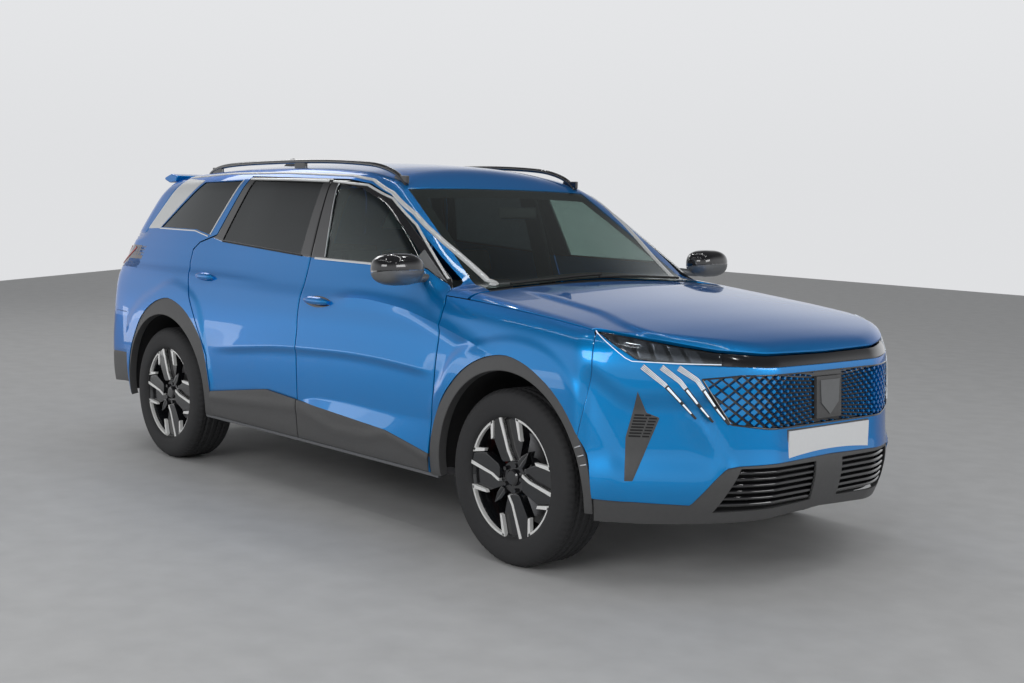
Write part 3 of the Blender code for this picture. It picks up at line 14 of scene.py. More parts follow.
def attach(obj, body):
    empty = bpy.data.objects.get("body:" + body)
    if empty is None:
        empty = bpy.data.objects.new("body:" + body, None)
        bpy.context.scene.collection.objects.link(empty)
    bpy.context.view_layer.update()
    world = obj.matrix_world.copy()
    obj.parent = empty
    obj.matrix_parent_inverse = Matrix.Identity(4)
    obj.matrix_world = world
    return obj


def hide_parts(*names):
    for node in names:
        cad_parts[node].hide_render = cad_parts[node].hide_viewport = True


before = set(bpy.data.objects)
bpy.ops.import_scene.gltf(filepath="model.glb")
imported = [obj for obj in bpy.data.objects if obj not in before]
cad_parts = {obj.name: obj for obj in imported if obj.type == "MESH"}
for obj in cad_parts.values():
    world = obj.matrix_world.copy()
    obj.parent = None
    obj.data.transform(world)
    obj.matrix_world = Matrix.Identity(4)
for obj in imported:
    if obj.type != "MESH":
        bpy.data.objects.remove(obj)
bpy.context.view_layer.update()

# Driving dimensions, as in the part
FRONT_AXLE_X = 1.485
REAR_AXLE_X = -1.410
TRACK_HALF = 0.800
TYRE_WIDTH = 0.235
AXLE_Z = 0.3627
ARCH_RADIUS = 0.432
ARCH_LIFT = 0.012
SHUT_GAP = 0.007
SEAM_GAP = 0.0012
PANEL = 0.010
BONNET_REAR_X = 1.128
BONNET_EDGE_Y = 0.836
ROOF_SEAM_Y = 0.600
SCREEN_TOP_X = 0.330
SCREEN_BASE_X = 1.050
ROOF_REAR_X = -1.730
NOSE_PIVOT_X = 1.350
TAIL_PIVOT_X = -1.550
SILL_Z = 0.305
# Metres along the nose for each degree round it
ANGLE_WEIGHT = 0.015
STEERING_PLACE = (0.48, -0.37, 0.90)
STEERING_TILT = 25.0
WHEEL_FACE_RADIUS = 0.2555
WHEEL_FACE = 0.098
LINER_RADIUS = 0.447
LINER_WALL = 0.005
# Door handles: start, end and height
HANDLES = {"front_door": (-0.063, 0.182, 0.976), "rear_door": (-1.139, -0.921, 1.027)}
# The rear bumper and the tail lamps start at this angle behind square to the side
TAIL_START = 19.0
TAIL_LAMP_LOW = 1.035
TAIL_LAMP_TOP = 1.165
REAR_BUMPER_TOP = 0.780
# Number plates: half-width, half-height and the height of each one's middle
PLATE_HALF = 0.260
PLATE_HALF_HEIGHT = 0.0555
FRONT_PLATE_Z = 0.566
REAR_PLATE_Z = 0.9085
RAIL_Y = 0.555
MIRROR_PLACE = (0.838, 1.002, 1.175)
MIRROR_HALF = (0.080, 0.122, 0.070)
MIRROR_PARTING = -0.012
MIRROR_SEAM = 0.0008
# How far in and out a cutter through one side reaches, and where the nose and the tail are cut
SIDE_REACH = (0.3, 1.2)
NOSE_REACH = (1.9, 2.6)
TAIL_REACH = (-2.6, -1.2)
# Seat pads: length, width and height of each, and how the cover is sewn
CUSHION_SIZE = (0.48, 0.492, 0.138)
BACK_SIZE = (0.110, 0.492, 0.500)
REST_SIZE = (0.090, 0.240, 0.150)
PAD_MESH = 0.008
PAD_SLACK = 0.008
PAD_GIVE = 0.012
SEAM_WIDTH = 0.014
SEAM_DEPTH = 0.007
CAMERA_PLACE = (5.697, -4.616, 1.493)
CAMERA_YAW = 2.4197
CAMERA_PITCH = -0.1020
CAMERA_ROLL = 0.0244
CAMERA_LENS = 49.516
# The floor ends at two walls that meet far behind the car
FLOOR_OUTLINE = [(-12.2, -1.2), (-28.8, 20.4), (0.0, 17.7), (16.0, 12.0), (16.0, -16.0), (-8.0, -16.0)]
# Brightness of the walls and the ceiling against height, as seen, mirrored and through glass
BACKDROP = [(0.0, 0.74), (0.16, 0.78), (0.62, 0.10)]

# Half-width along the car, what it loses with height, and the centre-line profiles
PLAN = [(-2.6, 0.80), (-2.2, 0.885), (-1.9, 0.918), (-1.41, 0.932), (-0.8, 0.922), (0.0, 0.918),
        (0.8, 0.920), (1.485, 0.935), (1.9, 0.930), (2.3, 0.86), (2.6, 0.72)]
SECTION = [(0.15, -0.075), (0.25, -0.035), (0.34, -0.016), (0.50, -0.006), (0.74, 0.0), (0.88, -0.008),
           (0.98, -0.028), (1.05, -0.058), (1.12, -0.083), (1.20, -0.108), (1.35, -0.158),
           (1.50, -0.215), (1.60, -0.262), (1.75, -0.36)]
NOSE = [(0.20, 2.30), (0.28, 2.345), (0.36, 2.375), (0.46, 2.390), (0.56, 2.380), (0.66, 2.374),
        (0.76, 2.368), (0.86, 2.362), (0.92, 2.345), (1.1, 2.2)]
TAIL = [(0.20, -2.30), (0.32, -2.36), (0.45, -2.392), (0.60, -2.385), (0.74, -2.36), (0.90, -2.345),
        (1.02, -2.33), (1.10, -2.28), (1.30, -2.16), (1.50, -2.03), (1.65, -1.93)]
BONNET = [(0.8, 1.150), (1.12, 1.120), (1.4, 1.092), (1.8, 1.048), (2.1, 1.000), (2.25, 0.962),
          (2.36, 0.915), (2.5, 0.83)]
ROOF = [(-2.3, 1.530), (-2.0, 1.575), (-1.6, 1.622), (-1.1, 1.650), (-0.5, 1.660), (0.0, 1.645),
        (0.25, 1.600), (0.36, 1.560), (0.6, 1.45)]

# Shut lines on the body side, x against z
CENTRE_LINE = [(0.305, -0.084), (0.84, -0.092), (1.565, -0.158)]
FRONT_LINE = [(0.305, 0.957), (0.55, 0.985), (0.80, 1.010), (0.92, 1.020), (1.03, 1.000), (1.10, 0.950),
              (1.262, 0.700), (1.385, 0.500), (1.480, 0.340), (1.535, 0.160), (1.556, -0.020)]
REAR_LINE = [(0.305, -0.915), (0.47, -0.916), (0.62, -0.945), (0.72, -1.000), (0.85, -1.090),
             (0.99, -1.190), (1.10, -1.250), (1.165, -1.262), (1.205, -1.215), (1.250, -1.060),
             (1.565, -0.930)]
CENTRE_AHEAD = [(z, x + SHUT_GAP) for z, x in CENTRE_LINE]
FRONT_LINE_AHEAD = [(z, x + SHUT_GAP) for z, x in FRONT_LINE[:7]]
WING_SEAM = [(0.25, 60.8), (0.45, 60.8), (0.85, 57.0), (1.10, 57.0)]
TAIL_SEAM = [(0.70, 50.0), (1.185, 50.0), (1.235, 25.0), (1.56, 15.0)]
LAMP_TOP = [(0, 0.908), (20, 0.912), (31, 0.926), (40, 0.950), (48, 0.975), (56, 0.994)]
LAMP_LOW = [(0, 0.871), (20, 0.872), (31, 0.879), (40, 0.885), (48, 0.897), (56, 0.986)]
BUMPER_LOW = [(0, 0.510), (26, 0.498), (29, 0.490), (36, 0.345), (62, 0.365)]
LIP_LOW = [(0, 0.290), (26, 0.268), (45, 0.262), (62, 0.270)]
LOW_SEAM = 60.8

# Windows and openings, as outlines
FRONT_WINDOW = [(-0.085, 1.545), (0.130, 1.518), (0.330, 1.455), (0.535, 1.335), (0.700, 1.235),
                (0.775, 1.180), (0.010, 1.183)]
REAR_WINDOW = [(-0.880, 1.550), (-0.215, 1.543), (-0.215, 1.190), (-0.990, 1.230)]
QUARTER_WINDOW = [(-1.416, 1.535), (-0.985, 1.548), (-1.130, 1.250), (-1.300, 1.275), (-1.730, 1.275)]
TAIL_WINDOW = [(-0.520, 1.270), (0.520, 1.270), (0.470, 1.500), (-0.470, 1.500)]
GRILLE_OUTLINE = [(-0.600, 0.828), (-0.470, 0.842), (0.470, 0.842), (0.600, 0.828), (0.508, 0.657),
                  (0.360, 0.636), (-0.360, 0.636), (-0.508, 0.657)]

# Feature lines on the body side, z against x
SHOULDER = [(0.10, 1.000), (0.206, 1.003), (0.428, 1.010), (0.706, 0.994), (1.016, 0.945),
            (1.292, 0.887), (1.45, 0.85)]
SHOULDER_ROW = [(-1.40, 1.035), (-0.40, 1.035)] + SHOULDER
LOWER_CREASE = [(-0.964, 0.657), (-0.068, 0.743), (0.451, 0.761), (0.976, 0.741), (1.10, 0.73)]
CLADDING_TOP = [(-0.94, 0.428), (-0.362, 0.507), (-0.060, 0.488), (0.657, 0.444), (0.985, 0.382)]
CLADDING_FOLD = [(-0.95, 0.40), (-0.062, 0.455), (0.253, 0.385), (0.51, 0.396), (0.657, 0.430), (0.99, 0.36)]
FACET_TOP = [(-0.06, 0.490), (0.015, 0.507), (0.872, 0.525), (1.0, 0.53)]
BELT = [(-1.30, 1.262), (-1.14, 1.245), (-0.99, 1.222), (-0.215, 1.182), (-0.10, 1.178), (0.775, 1.172),
        (1.00, 1.075)]
BONNET_CREASE = [(1.049, 0.555), (1.419, 0.588), (1.682, 0.613), (1.974, 0.684), (2.107, 0.669)]
CHEEK_RIDGE = [(0.496, 28.9), (0.679, 35.5), (0.80, 40.0)]
NOSE_FOLD = [(28, 0.828), (31, 0.828), (35.8, 0.780), (42, 0.785), (47.6, 0.777), (57, 0.880)]
# Outlines round the wheels: radius against the angle from straight ahead, in degrees
FRONT_BROW = [(-20, 0.565), (28, 0.553), (58, 0.580), (84, 0.564), (102, 0.556), (126, 0.575),
              (143, 0.547), (200, 0.550)]
REAR_BROW = [(-20, 0.500), (32, 0.527), (59, 0.630), (83, 0.616), (109, 0.565), (168, 0.582),
             (200, 0.590)]
FRONT_RING = [(-20, 0.460), (30, 0.473), (66, 0.480), (91, 0.500), (136, 0.495), (187, 0.515), (200, 0.515)]
REAR_RING = [(-20, 0.505), (12, 0.488), (40, 0.532), (86, 0.534), (139, 0.465), (200, 0.455)]


def smooth_max(a, b, blend):
    near = np.maximum(blend - np.abs(a - b), 0.0) / blend
    return np.maximum(a, b) + near * near * blend / 4.0


def smooth_min(a, b, blend):
    return -smooth_max(-a, -b, blend)


def through(points):
    """A smooth curve through the points that never overshoots them, as a function."""
    xs = np.array([p[0] for p in points], float)
    ys = np.array([p[1] for p in points], float)
    step = np.diff(xs)
    slope = np.diff(ys) / step
    tangent = np.empty(len(xs))
    tangent[0] = slope[0]
    tangent[-1] = slope[-1]
    for i in range(1, len(xs) - 1):
        before, after = slope[i - 1], slope[i]
        if before * after <= 0:
            tangent[i] = 0.0
        else:
            tangent[i] = (step[i - 1] + step[i]) / (step[i - 1] / after + step[i] / before)

    def at(value):
        value = np.minimum(np.maximum(value, xs[0]), xs[-1])
        i = np.minimum(np.maximum(np.searchsorted(xs, value) - 1, 0), len(xs) - 2)
        s = (value - xs[i]) / step[i]
        rise = (3 - 2 * s) * s * s
        lead = (1 - s) * (1 - s) * s * step[i] * tangent[i]
        tail = (s - 1) * s * s * step[i] * tangent[i + 1]
        return ys[i] + (ys[i + 1] - ys[i]) * rise + lead + tail

    return at


def line(value, points):
    return np.interp(value, [p[0] for p in points], [p[1] for p in points])


plan_at = through(PLAN)
section_at = through(SECTION)
nose_at = through(NOSE)
tail_at = through(TAIL)
bonnet_at = through(BONNET)
roof_at = through(ROOF)
shoulder_at = through(SHOULDER)
shoulder_row_at = through(SHOULDER_ROW)
lower_crease_at = through(LOWER_CREASE)
facet_at = through(FACET_TOP)
front_brow_at = through(FRONT_BROW)
rear_brow_at = through(REAR_BROW)
fold_at = through(NOSE_FOLD)
bonnet_crease_at = through(BONNET_CREASE)


def body(x, y, z):
    """The body surface of the part: zero on it, negative inside."""
    above_belt = np.clip((z - 1.10) / 0.5, 0.0, 1.0)
    towards_tail = np.clip((-x - 0.6) / 1.3, 0.0, 1.0)
    towards_nose = np.clip(x / 0.9, 0.0, 1.0)
    taper = 0.050 * towards_tail ** 1.5 + 0.085 * towards_nose ** 1.5
    width = plan_at(x) + section_at(z) - above_belt * taper
    a = np.abs(y)
    nose = nose_at(z) - 0.03 * a * a - 0.9 * np.maximum(a - 0.30, 0.0) ** 1.6
    tail = tail_at(z) + 0.10 * a * a + 0.55 * np.maximum(a - 0.45, 0.0) ** 1.8
    bonnet = bonnet_at(x) - 0.035 * (y / 0.8) ** 2
    screen = (1.135 - x) * 0.555 + 1.085 - 0.17 * y * y * np.clip((x - 0.2) / 0.8, 0.15, 1.2)
    roof = roof_at(x) - 0.045 * (y / 0.6) ** 2
    top = smooth_max(bonnet, smooth_min(roof, screen, 0.02), 0.02)
    field = smooth_max(a - width, z - top, 0.09)
    field = smooth_max(field, x - nose, 0.06)
    return smooth_max(field, tail - x, 0.10)


def on_body(start, direction, reach=1.6):
    """Where rays from inside the body leave its surface."""
    start, direction = np.broadcast_arrays(np.asarray(start, float), np.asarray(direction, float))
    low = np.zeros(start.shape[:-1])
    high = np.full(start.shape[:-1], reach)
    for _ in range(26):
        middle = (low + high) / 2
        point = start + middle[..., None] * direction
        inside = body(point[..., 0], point[..., 1], point[..., 2]) < 0
        low = np.where(inside, middle, low)
        high = np.where(inside, high, middle)
    return start + low[..., None] * direction


def stack(x, y, z):
    x, y, z = np.broadcast_arrays(x, y, z)
    return np.stack([x, y, z], axis=-1).astype(float)


def side_points(x, z, side=1):
    return on_body(stack(x, 0.0, z), (0.0, side, 0.0))


def top_points(x, y):
    return on_body(stack(x, y, 0.55), (0.0, 0.0, 1.0))


def nose_points(angle, z):
    turn = np.radians(angle)
    return on_body(stack(NOSE_PIVOT_X, 0.0, z), stack(np.cos(turn), np.sin(turn), 0.0))


def tail_points(angle, z):
    turn = np.radians(angle)
    return on_body(stack(TAIL_PIVOT_X, 0.0, z), stack(-np.sin(turn), np.cos(turn), 0.0))


def normals(points):
    """Outward normals of the body surface."""
    step = 1e-4
    x, y, z = points[..., 0], points[..., 1], points[..., 2]
    slope = np.stack([
        body(x + step, y, z) - body(x - step, y, z),
        body(x, y + step, z) - body(x, y - step, z),
        body(x, y, z + step) - body(x, y, z - step),
    ], axis=-1)
    return slope / np.linalg.norm(slope, axis=-1, keepdims=True)


def seam_y(x):
    """Half-width where the roof and the windscreen meet the body sides."""
    ahead = line(x, [(SCREEN_TOP_X, ROOF_SEAM_Y - 0.03), (SCREEN_BASE_X, 0.690), (BONNET_REAR_X, 0.720)])
    behind = line(x, [(0.0, ROOF_SEAM_Y), (SCREEN_TOP_X, ROOF_SEAM_Y - 0.03)])
    return np.where(np.asarray(x) > SCREEN_TOP_X, ahead, behind)


def ramp(value, start, end):
    """Rises smoothly from 0 at the start to 1 at the end."""
    s = np.clip((value - start) / (end - start), 0.0, 1.0)
    return s * s * (3 - 2 * s)


def ridge(value, below, above):
    """A crease: 1 where the value is zero, running out below and above it."""
    s = np.clip(np.where(value < 0, -value / below, value / above), 0.0, 1.0)
    return (1 - s) ** 2


def round_wheel(x, z, axle_x):
    """Distance from the wheel's axle, and the angle from straight ahead in degrees."""
    angle = np.degrees(np.arctan2(z - AXLE_Z, x - axle_x))
    return np.hypot(x - axle_x, z - AXLE_Z), np.where(angle < -90, angle + 360, angle)


def relief(points):
    """Creases and folds of the painted panels: how far the surface stands off the plain body."""
    x, y, z = points[..., 0], np.abs(points[..., 1]), points[..., 2]
    on_side = ramp(y, 0.62, 0.74) * (1 - ramp(z, 1.06, 1.12))
    shoulder = 0.013 * ramp(x, 0.10, 0.35) * (1 - ramp(x, 1.20, 1.45))
    height = shoulder * ridge(z - shoulder_at(x), 0.060, 0.055)
    lower = 0.008 * ramp(x, -0.95, -0.6) * (1 - ramp(x, 0.85, 1.0))
    height = height + lower * ridge(z - lower_crease_at(x), 0.040, 0.110)
    rear = 0.006 * (1 - ramp(x, -0.9, -0.3)) * ramp(x, -2.1, -1.9)
    height = height + rear * ridge(z - 1.035, 0.08, 0.05)
    fall = np.maximum(facet_at(x) - line(x, CLADDING_TOP), 0.004)
    facet = np.clip((facet_at(x) - z) / fall, 0.0, 1.0)
    height = height + 0.010 * facet * ramp(x, -0.06, 0.10) * (1 - ramp(x, 0.98, 1.05))
    for axle_x, brow_at, start, end in (
            (FRONT_AXLE_X, front_brow_at, 0, 150), (REAR_AXLE_X, rear_brow_at, 10, 175)):
        radius, angle = round_wheel(x, z, axle_x)
        edge = brow_at(angle)
        band = ramp(angle, start - 15, start + 15) * (1 - ramp(angle, end - 10, end + 15))
        height = height + 0.009 * band * (1 - ramp(radius, edge - 0.014, edge + 0.030))
    height = height * on_side
    inside = 1 - ramp(y, bonnet_crease_at(x) - 0.006, bonnet_crease_at(x) + 0.045)
    height = height + 0.009 * inside * ramp(x, 1.13, 1.35) * ramp(z, 0.905, 0.93)
    angle = np.degrees(np.arctan2(y, x - NOSE_PIVOT_X))
    fold = fold_at(angle)
    window = ramp(angle, 27, 33) * (1 - ramp(angle, 57, 60)) * ramp(x, 1.7, 1.75)
    height = height - 0.020 * window * ramp(fold - z, 0.0, 0.080) * ramp(z, 0.38, 0.55)
    across = (angle - line(z, CHEEK_RIDGE)) * 0.0165
    reach = ramp(z, 0.42, 0.52) * (1 - ramp(z, 0.66, 0.74)) * ramp(x, 1.7, 1.75)
    return height + 0.012 * ridge(across, 0.05, 0.09) * reach


def mixed(tree, low, high, factor):
    """A colour between two, by a factor socket."""
    mix = tree.nodes.new("ShaderNodeMix")
    mix.data_type = "RGBA"
    mix.inputs[6].default_value = (*low, 1.0)
    mix.inputs[7].default_value = (*high, 1.0)
    tree.links.new(factor, mix.inputs[0])
    return mix.outputs[2]


def noise(tree, scale, detail=3.0):
    coordinates = tree.nodes.new("ShaderNodeTexCoord")
    made = tree.nodes.new("ShaderNodeTexNoise")
    made.inputs["Scale"].default_value = scale
    made.inputs["Detail"].default_value = detail
    tree.links.new(coordinates.outputs["Object"], made.inputs["Vector"])
    return made.outputs["Fac"]


def surface(name, colour, roughness, metallic=0.0, second=None, scale=60.0, grain=0.0, grain_scale=900.0,
            coat=0.0, coat_roughness=0.03, glow=None):
    """A solid surface: its colour drifts between two, and a grain roughens it."""
    made = bpy.data.materials.new(name)
    made.use_nodes = True
    tree = made.node_tree
    shader = tree.nodes["Principled BSDF"]
    second = second or tuple(c * 0.86 for c in colour)
    tree.links.new(mixed(tree, colour, second, noise(tree, scale)), shader.inputs["Base Color"])
    shader.inputs["Roughness"].default_value = roughness
    shader.inputs["Metallic"].default_value = metallic
    shader.inputs["Coat Weight"].default_value = coat
    shader.inputs["Coat Roughness"].default_value = coat_roughness
    if grain:
        bump = tree.nodes.new("ShaderNodeBump")
        bump.inputs["Strength"].default_value = grain
        bump.inputs["Distance"].default_value = 0.0006
        tree.links.new(noise(tree, grain_scale, 2.0), bump.inputs["Height"])
        tree.links.new(bump.outputs["Normal"], shader.inputs["Normal"])
    if glow:
        shader.inputs["Emission Color"].default_value = (*glow[0], 1.0)
        shader.inputs["Emission Strength"].default_value = glow[1]
    return made


def metallic_paint(name, face, edge):
    """Metallic paint: bright face-on, deep at a slant, with fine flakes under a clear coat."""
    made = surface(name, face, 0.36, 0.60, coat=1.0)
    tree = made.node_tree
    shader = tree.nodes["Principled BSDF"]
    weight = tree.nodes.new("ShaderNodeLayerWeight")
    weight.inputs["Blend"].default_value = 0.45
    shader.inputs["Specular Tint"].default_value = (0.05, 0.45, 1.0, 1.0)
    flakes = tree.nodes.new("ShaderNodeMath")
    flakes.operation = "MULTIPLY_ADD"
    flakes.inputs[1].default_value = 0.30
    tree.links.new(noise(tree, 2200.0, 1.0), flakes.inputs[0])
    tree.links.new(weight.outputs["Facing"], flakes.inputs[2])
    tree.links.new(mixed(tree, face, edge, flakes.outputs[0]), shader.inputs["Base Color"])
    return made


def glass(name, tint):
    """Thin window glass: it tints what is seen through it and mirrors at a slant."""
    made = bpy.data.materials.new(name)
    made.use_nodes = True
    tree = made.node_tree
    shader = tree.nodes["Principled BSDF"]
    shader.inputs["Metallic"].default_value = 1.0
    shader.inputs["Roughness"].default_value = 0.015
    tree.links.new(mixed(tree, (0.95, 0.97, 0.98), (0.88, 0.92, 0.93), noise(tree, 3.0)),
                   shader.inputs["Base Color"])
    clear = tree.nodes.new("ShaderNodeBsdfTransparent")
    tree.links.new(mixed(tree, tint, tuple(c * 0.93 for c in tint), noise(tree, 2.0)), clear.inputs["Color"])
    weight = tree.nodes.new("ShaderNodeLayerWeight")
    weight.inputs["Blend"].default_value = 0.5
    slant = tree.nodes.new("ShaderNodeMath")
    slant.operation = "POWER"
    slant.inputs[1].default_value = 4.0
    share = tree.nodes.new("ShaderNodeMath")
    share.operation = "MULTIPLY_ADD"
    share.inputs[1].default_value = 0.94
    share.inputs[2].default_value = 0.05
    mix = tree.nodes.new("ShaderNodeMixShader")
    tree.links.new(weight.outputs["Facing"], slant.inputs[0])
    tree.links.new(slant.outputs[0], share.inputs[0])
    tree.links.new(share.outputs[0], mix.inputs[0])
    tree.links.new(clear.outputs["BSDF"], mix.inputs[1])
    tree.links.new(shader.outputs["BSDF"], mix.inputs[2])
    tree.links.new(mix.outputs["Shader"], tree.nodes["Material Output"].inputs["Surface"])
    return made


PAINT = metallic_paint("blue_paint", (0.001, 0.300, 0.740), (0.001, 0.155, 0.480))
CLADDING = surface("grained_cladding", (0.086, 0.086, 0.087), 0.50, second=(0.070, 0.070, 0.071), grain=0.35)
SILL_TRIM = surface("pale_sill_trim", (0.16, 0.165, 0.175), 0.5, grain=0.3)
GLOSS = surface("gloss_black", (0.010, 0.010, 0.012), 0.10, coat=1.0)
SEAL = surface("black_seal", (0.012, 0.012, 0.013), 0.55, grain=0.2)
SATIN = surface("satin_silver", (0.74, 0.75, 0.75), 0.32, 0.45, second=(0.69, 0.70, 0.70), scale=200.0)
BRIGHT = surface("bright_metal", (0.80, 0.82, 0.84), 0.14, 1.0, second=(0.74, 0.76, 0.78), scale=120.0)
CHROME = surface("chrome", (0.85, 0.86, 0.87), 0.05, 1.0, second=(0.80, 0.81, 0.83), scale=90.0)
GREY_SATIN = surface("satin_grey", (0.20, 0.205, 0.21), 0.36, 0.5)
DARK_WHEEL = surface("dark_wheel", (0.014, 0.015, 0.017), 0.20, 0.30, second=(0.010, 0.011, 0.013), coat=1.0)
CUT_METAL = surface("cut_metal", (0.90, 0.90, 0.88), 0.34, 0.20, second=(0.84, 0.84, 0.83), scale=300.0)
DISC = surface("brake_disc", (0.42, 0.42, 0.43), 0.34, 1.0, second=(0.30, 0.30, 0.31), scale=90.0)
CALIPER = surface("brake_caliper", (0.22, 0.025, 0.020), 0.40, second=(0.16, 0.02, 0.016))
RUBBER = surface("tyre_rubber", (0.026, 0.026, 0.028), 0.72, second=(0.019, 0.019, 0.020), grain=0.5,
                 grain_scale=500.0)
LINER = surface("arch_liner", (0.012, 0.012, 0.013), 0.85, grain=0.4)
TRIM = surface("dark_trim", (0.045, 0.045, 0.050), 0.62, second=(0.034, 0.034, 0.038), grain=0.4)
PALE_TRIM = surface("pale_trim", (0.30, 0.30, 0.30), 0.70, second=(0.26, 0.26, 0.26), grain=0.3)
FABRIC = surface("seat_fabric", (0.060, 0.062, 0.070), 0.88, second=(0.040, 0.042, 0.048), scale=700.0,
                 grain=0.8, grain_scale=700.0)
SCREEN = surface("display", (0.012, 0.014, 0.018), 0.08, coat=1.0)
WHITE_PLATE = surface("blank_plate", (0.84, 0.85, 0.86), 0.32, second=(0.80, 0.81, 0.82), coat=0.4)
STEEL = surface("dark_steel", (0.10, 0.10, 0.105), 0.55, 0.6)
LAMP_BRIGHT = surface("lamp_reflector", (0.26, 0.27, 0.29), 0.16, 0.8, second=(0.17, 0.18, 0.20), scale=260.0)
LAMP_GLOW = surface("lamp_strip", (0.86, 0.92, 0.98), 0.20, second=(0.80, 0.88, 0.96),
                    glow=((0.85, 0.93, 1.0), 0.35))
LAMP_DARK = surface("lamp_housing", (0.022, 0.024, 0.028), 0.18, 0.4, coat=1.0)
RED = surface("red_lens", (0.36, 0.012, 0.012), 0.12, second=(0.26, 0.008, 0.008), coat=1.0,
              glow=((0.8, 0.02, 0.02), 0.05))
SMOKED = surface("smoked_lens", (0.030, 0.010, 0.011), 0.08, coat=1.0)
CLEAR_GLASS = glass("clear_glass", (0.60, 0.70, 0.67))
SCREEN_GLASS = glass("screen_glass", (0.74, 0.80, 0.78))
PRIVACY_GLASS = glass("privacy_glass", (0.16, 0.18, 0.19))
LENS = glass("lamp_lens", (0.88, 0.90, 0.92))
MIRROR_GLASS = surface("mirror_glass", (0.80, 0.83, 0.86), 0.02, 1.0)


def shown(bm, name, look, rides="body", replaces=(), sharp=32.0, cutters=(), keepers=()):
    """Finish a piece: cut it, shade it, and tie it to the part."""
    bmesh.ops.recalc_face_normals(bm, faces=bm.faces)
    mesh = bpy.data.meshes.new(name)
    bm.to_mesh(mesh)
    bm.free()
    mesh.materials.append(look)
    obj = bpy.data.objects.new(name, mesh)
    bpy.context.scene.collection.objects.link(obj)
    for operation, others in (("DIFFERENCE", cutters), ("INTERSECT", keepers)):
        for other in others:
            made = obj.modifiers.new(other.name, "BOOLEAN")
            made.operation = operation
            made.object = other
            made.solver = "MANIFOLD"
    if cutters or keepers:
        graph = bpy.context.evaluated_depsgraph_get()
        cut_mesh = bpy.data.meshes.new_from_object(obj.evaluated_get(graph))
        obj.modifiers.clear()
        obj.data = cut_mesh
        if not len(cut_mesh.polygons):
            print("EMPTY after cutting:", name)
    for polygon in obj.data.polygons:
        polygon.use_smooth = True
    obj.data.set_sharp_from_angle(angle=math.radians(sharp))
    weighted = obj.modifiers.new("weighted normals", "WEIGHTED_NORMAL")
    weighted.keep_sharp = True
    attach(obj, rides)
    if replaces:
        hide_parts(*replaces)
    return obj


HELPERS = []


def helper(bm, name):
    """A cutter: it is removed before the end."""
    bmesh.ops.recalc_face_normals(bm, faces=bm.faces)
    mesh = bpy.data.meshes.new(name)
    bm.to_mesh(mesh)
    bm.free()
    obj = bpy.data.objects.new(name, mesh)
    bpy.context.scene.collection.objects.link(obj)
    obj.hide_render = True
    HELPERS.append(obj)
    return obj


def spaced(length, step, edge=0.003):
    """Shares from 0 to 1 about a step apart, with one close to each end for the rolled edge."""
    count = max(int(length / step), 2)
    inner = np.linspace(0.0, 1.0, count + 1)
    near = min(edge / length, 0.2 / count)
    return np.concatenate([[0.0, near], inner[1:-1], [1.0 - near, 1.0]])


def grid_mesh(outer, inner):
    """A closed sheet: a grid laid on the outer points and extruded to the inner ones."""
    count, width = outer.shape[:2]
    bm = bmesh.new()
    tag = bm.verts.layers.int.new("place")
    bmesh.ops.create_grid(bm, x_segments=width - 1, y_segments=count - 1, size=0.5)
    verts = sorted(bm.verts, key=lambda v: (round(v.co.y, 5), round(v.co.x, 5)))
    flat_outer = outer.reshape(-1, 3)
    flat_inner = inner.reshape(-1, 3)
    for k, vert in enumerate(verts):
        vert[tag] = k
    made = bmesh.ops.extrude_face_region(bm, geom=list(bm.faces), use_keep_orig=True)
    below = [v for v in made["geom"] if isinstance(v, bmesh.types.BMVert)]
    for vert in verts:
        vert.co = flat_outer[vert[tag]]
    for vert in below:
        vert.co = flat_inner[vert[tag]]
    return bm


def panel(name, rows, look, rides="body", thickness=PANEL, lift=0.0, roll=0.0015, creased=False, **ties):
    """A body panel: rows of points on the body, with its creases, thickness and rolled edges."""
    rows = np.asarray(rows, float)
    outward = normals(rows)
    rise = np.zeros(rows.shape[:2]) + lift
    if creased:
        rise = rise + relief(rows)
    if roll:
        rise[0] -= roll
        rise[-1] -= roll
        rise[:, 0] -= roll
        rise[:, -1] -= roll
    outer = rows + outward * rise[..., None]
    base = rise.min() if np.ndim(lift) else lift
    inner = rows + outward * (np.minimum(rise, base) - thickness)[..., None]
    return shown(grid_mesh(outer, inner), name, look, rides, **ties)


def between(x, guides, t):
    """Height in a stack of guide lines: 0 on the lowest, 1 on the next, and so on."""
    heights = np.stack([guide(x) for guide in guides])
    below = np.minimum(t.astype(int), len(guides) - 2)
    low = np.take_along_axis(heights, below[None], axis=0)[0]
    high = np.take_along_axis(heights, below[None] + 1, axis=0)[0]
    return low + (t - below) * (high - low)


def levels(guides, x, step):
    """Row levels in a stack of guide lines, about a step apart, with one close to each end."""
    made = []
    for k, (low, high) in enumerate(zip(guides, guides[1:])):
        count = max(round(float(high(x) - low(x)) / step), 2)
        made.append(k + np.arange(count) / count)
    rows = np.append(np.concatenate(made), len(guides) - 1.0)
    near = 0.2 * min(rows[1], rows[-1] - rows[-2])
    return np.concatenate([[0.0, near], rows[1:-1], [rows[-1] - near, rows[-1]]])


def zone(left, right, guides, side, step=0.014):
    """Points on the body side between two shut lines, with a row along each guide line."""
    middle = (left(0.8) + right(0.8)) / 2
    s, t = np.meshgrid(spaced(1.0, step), levels(guides, middle, step))
    x = s * 0.0
    z = s * 0.0 + 0.8
    for _ in range(30):
        x = (x + left(z) + s * (right(z) - left(z))) / 2
        z = (z + between(x, guides, t)) / 2
    return side_points(x, z, side)


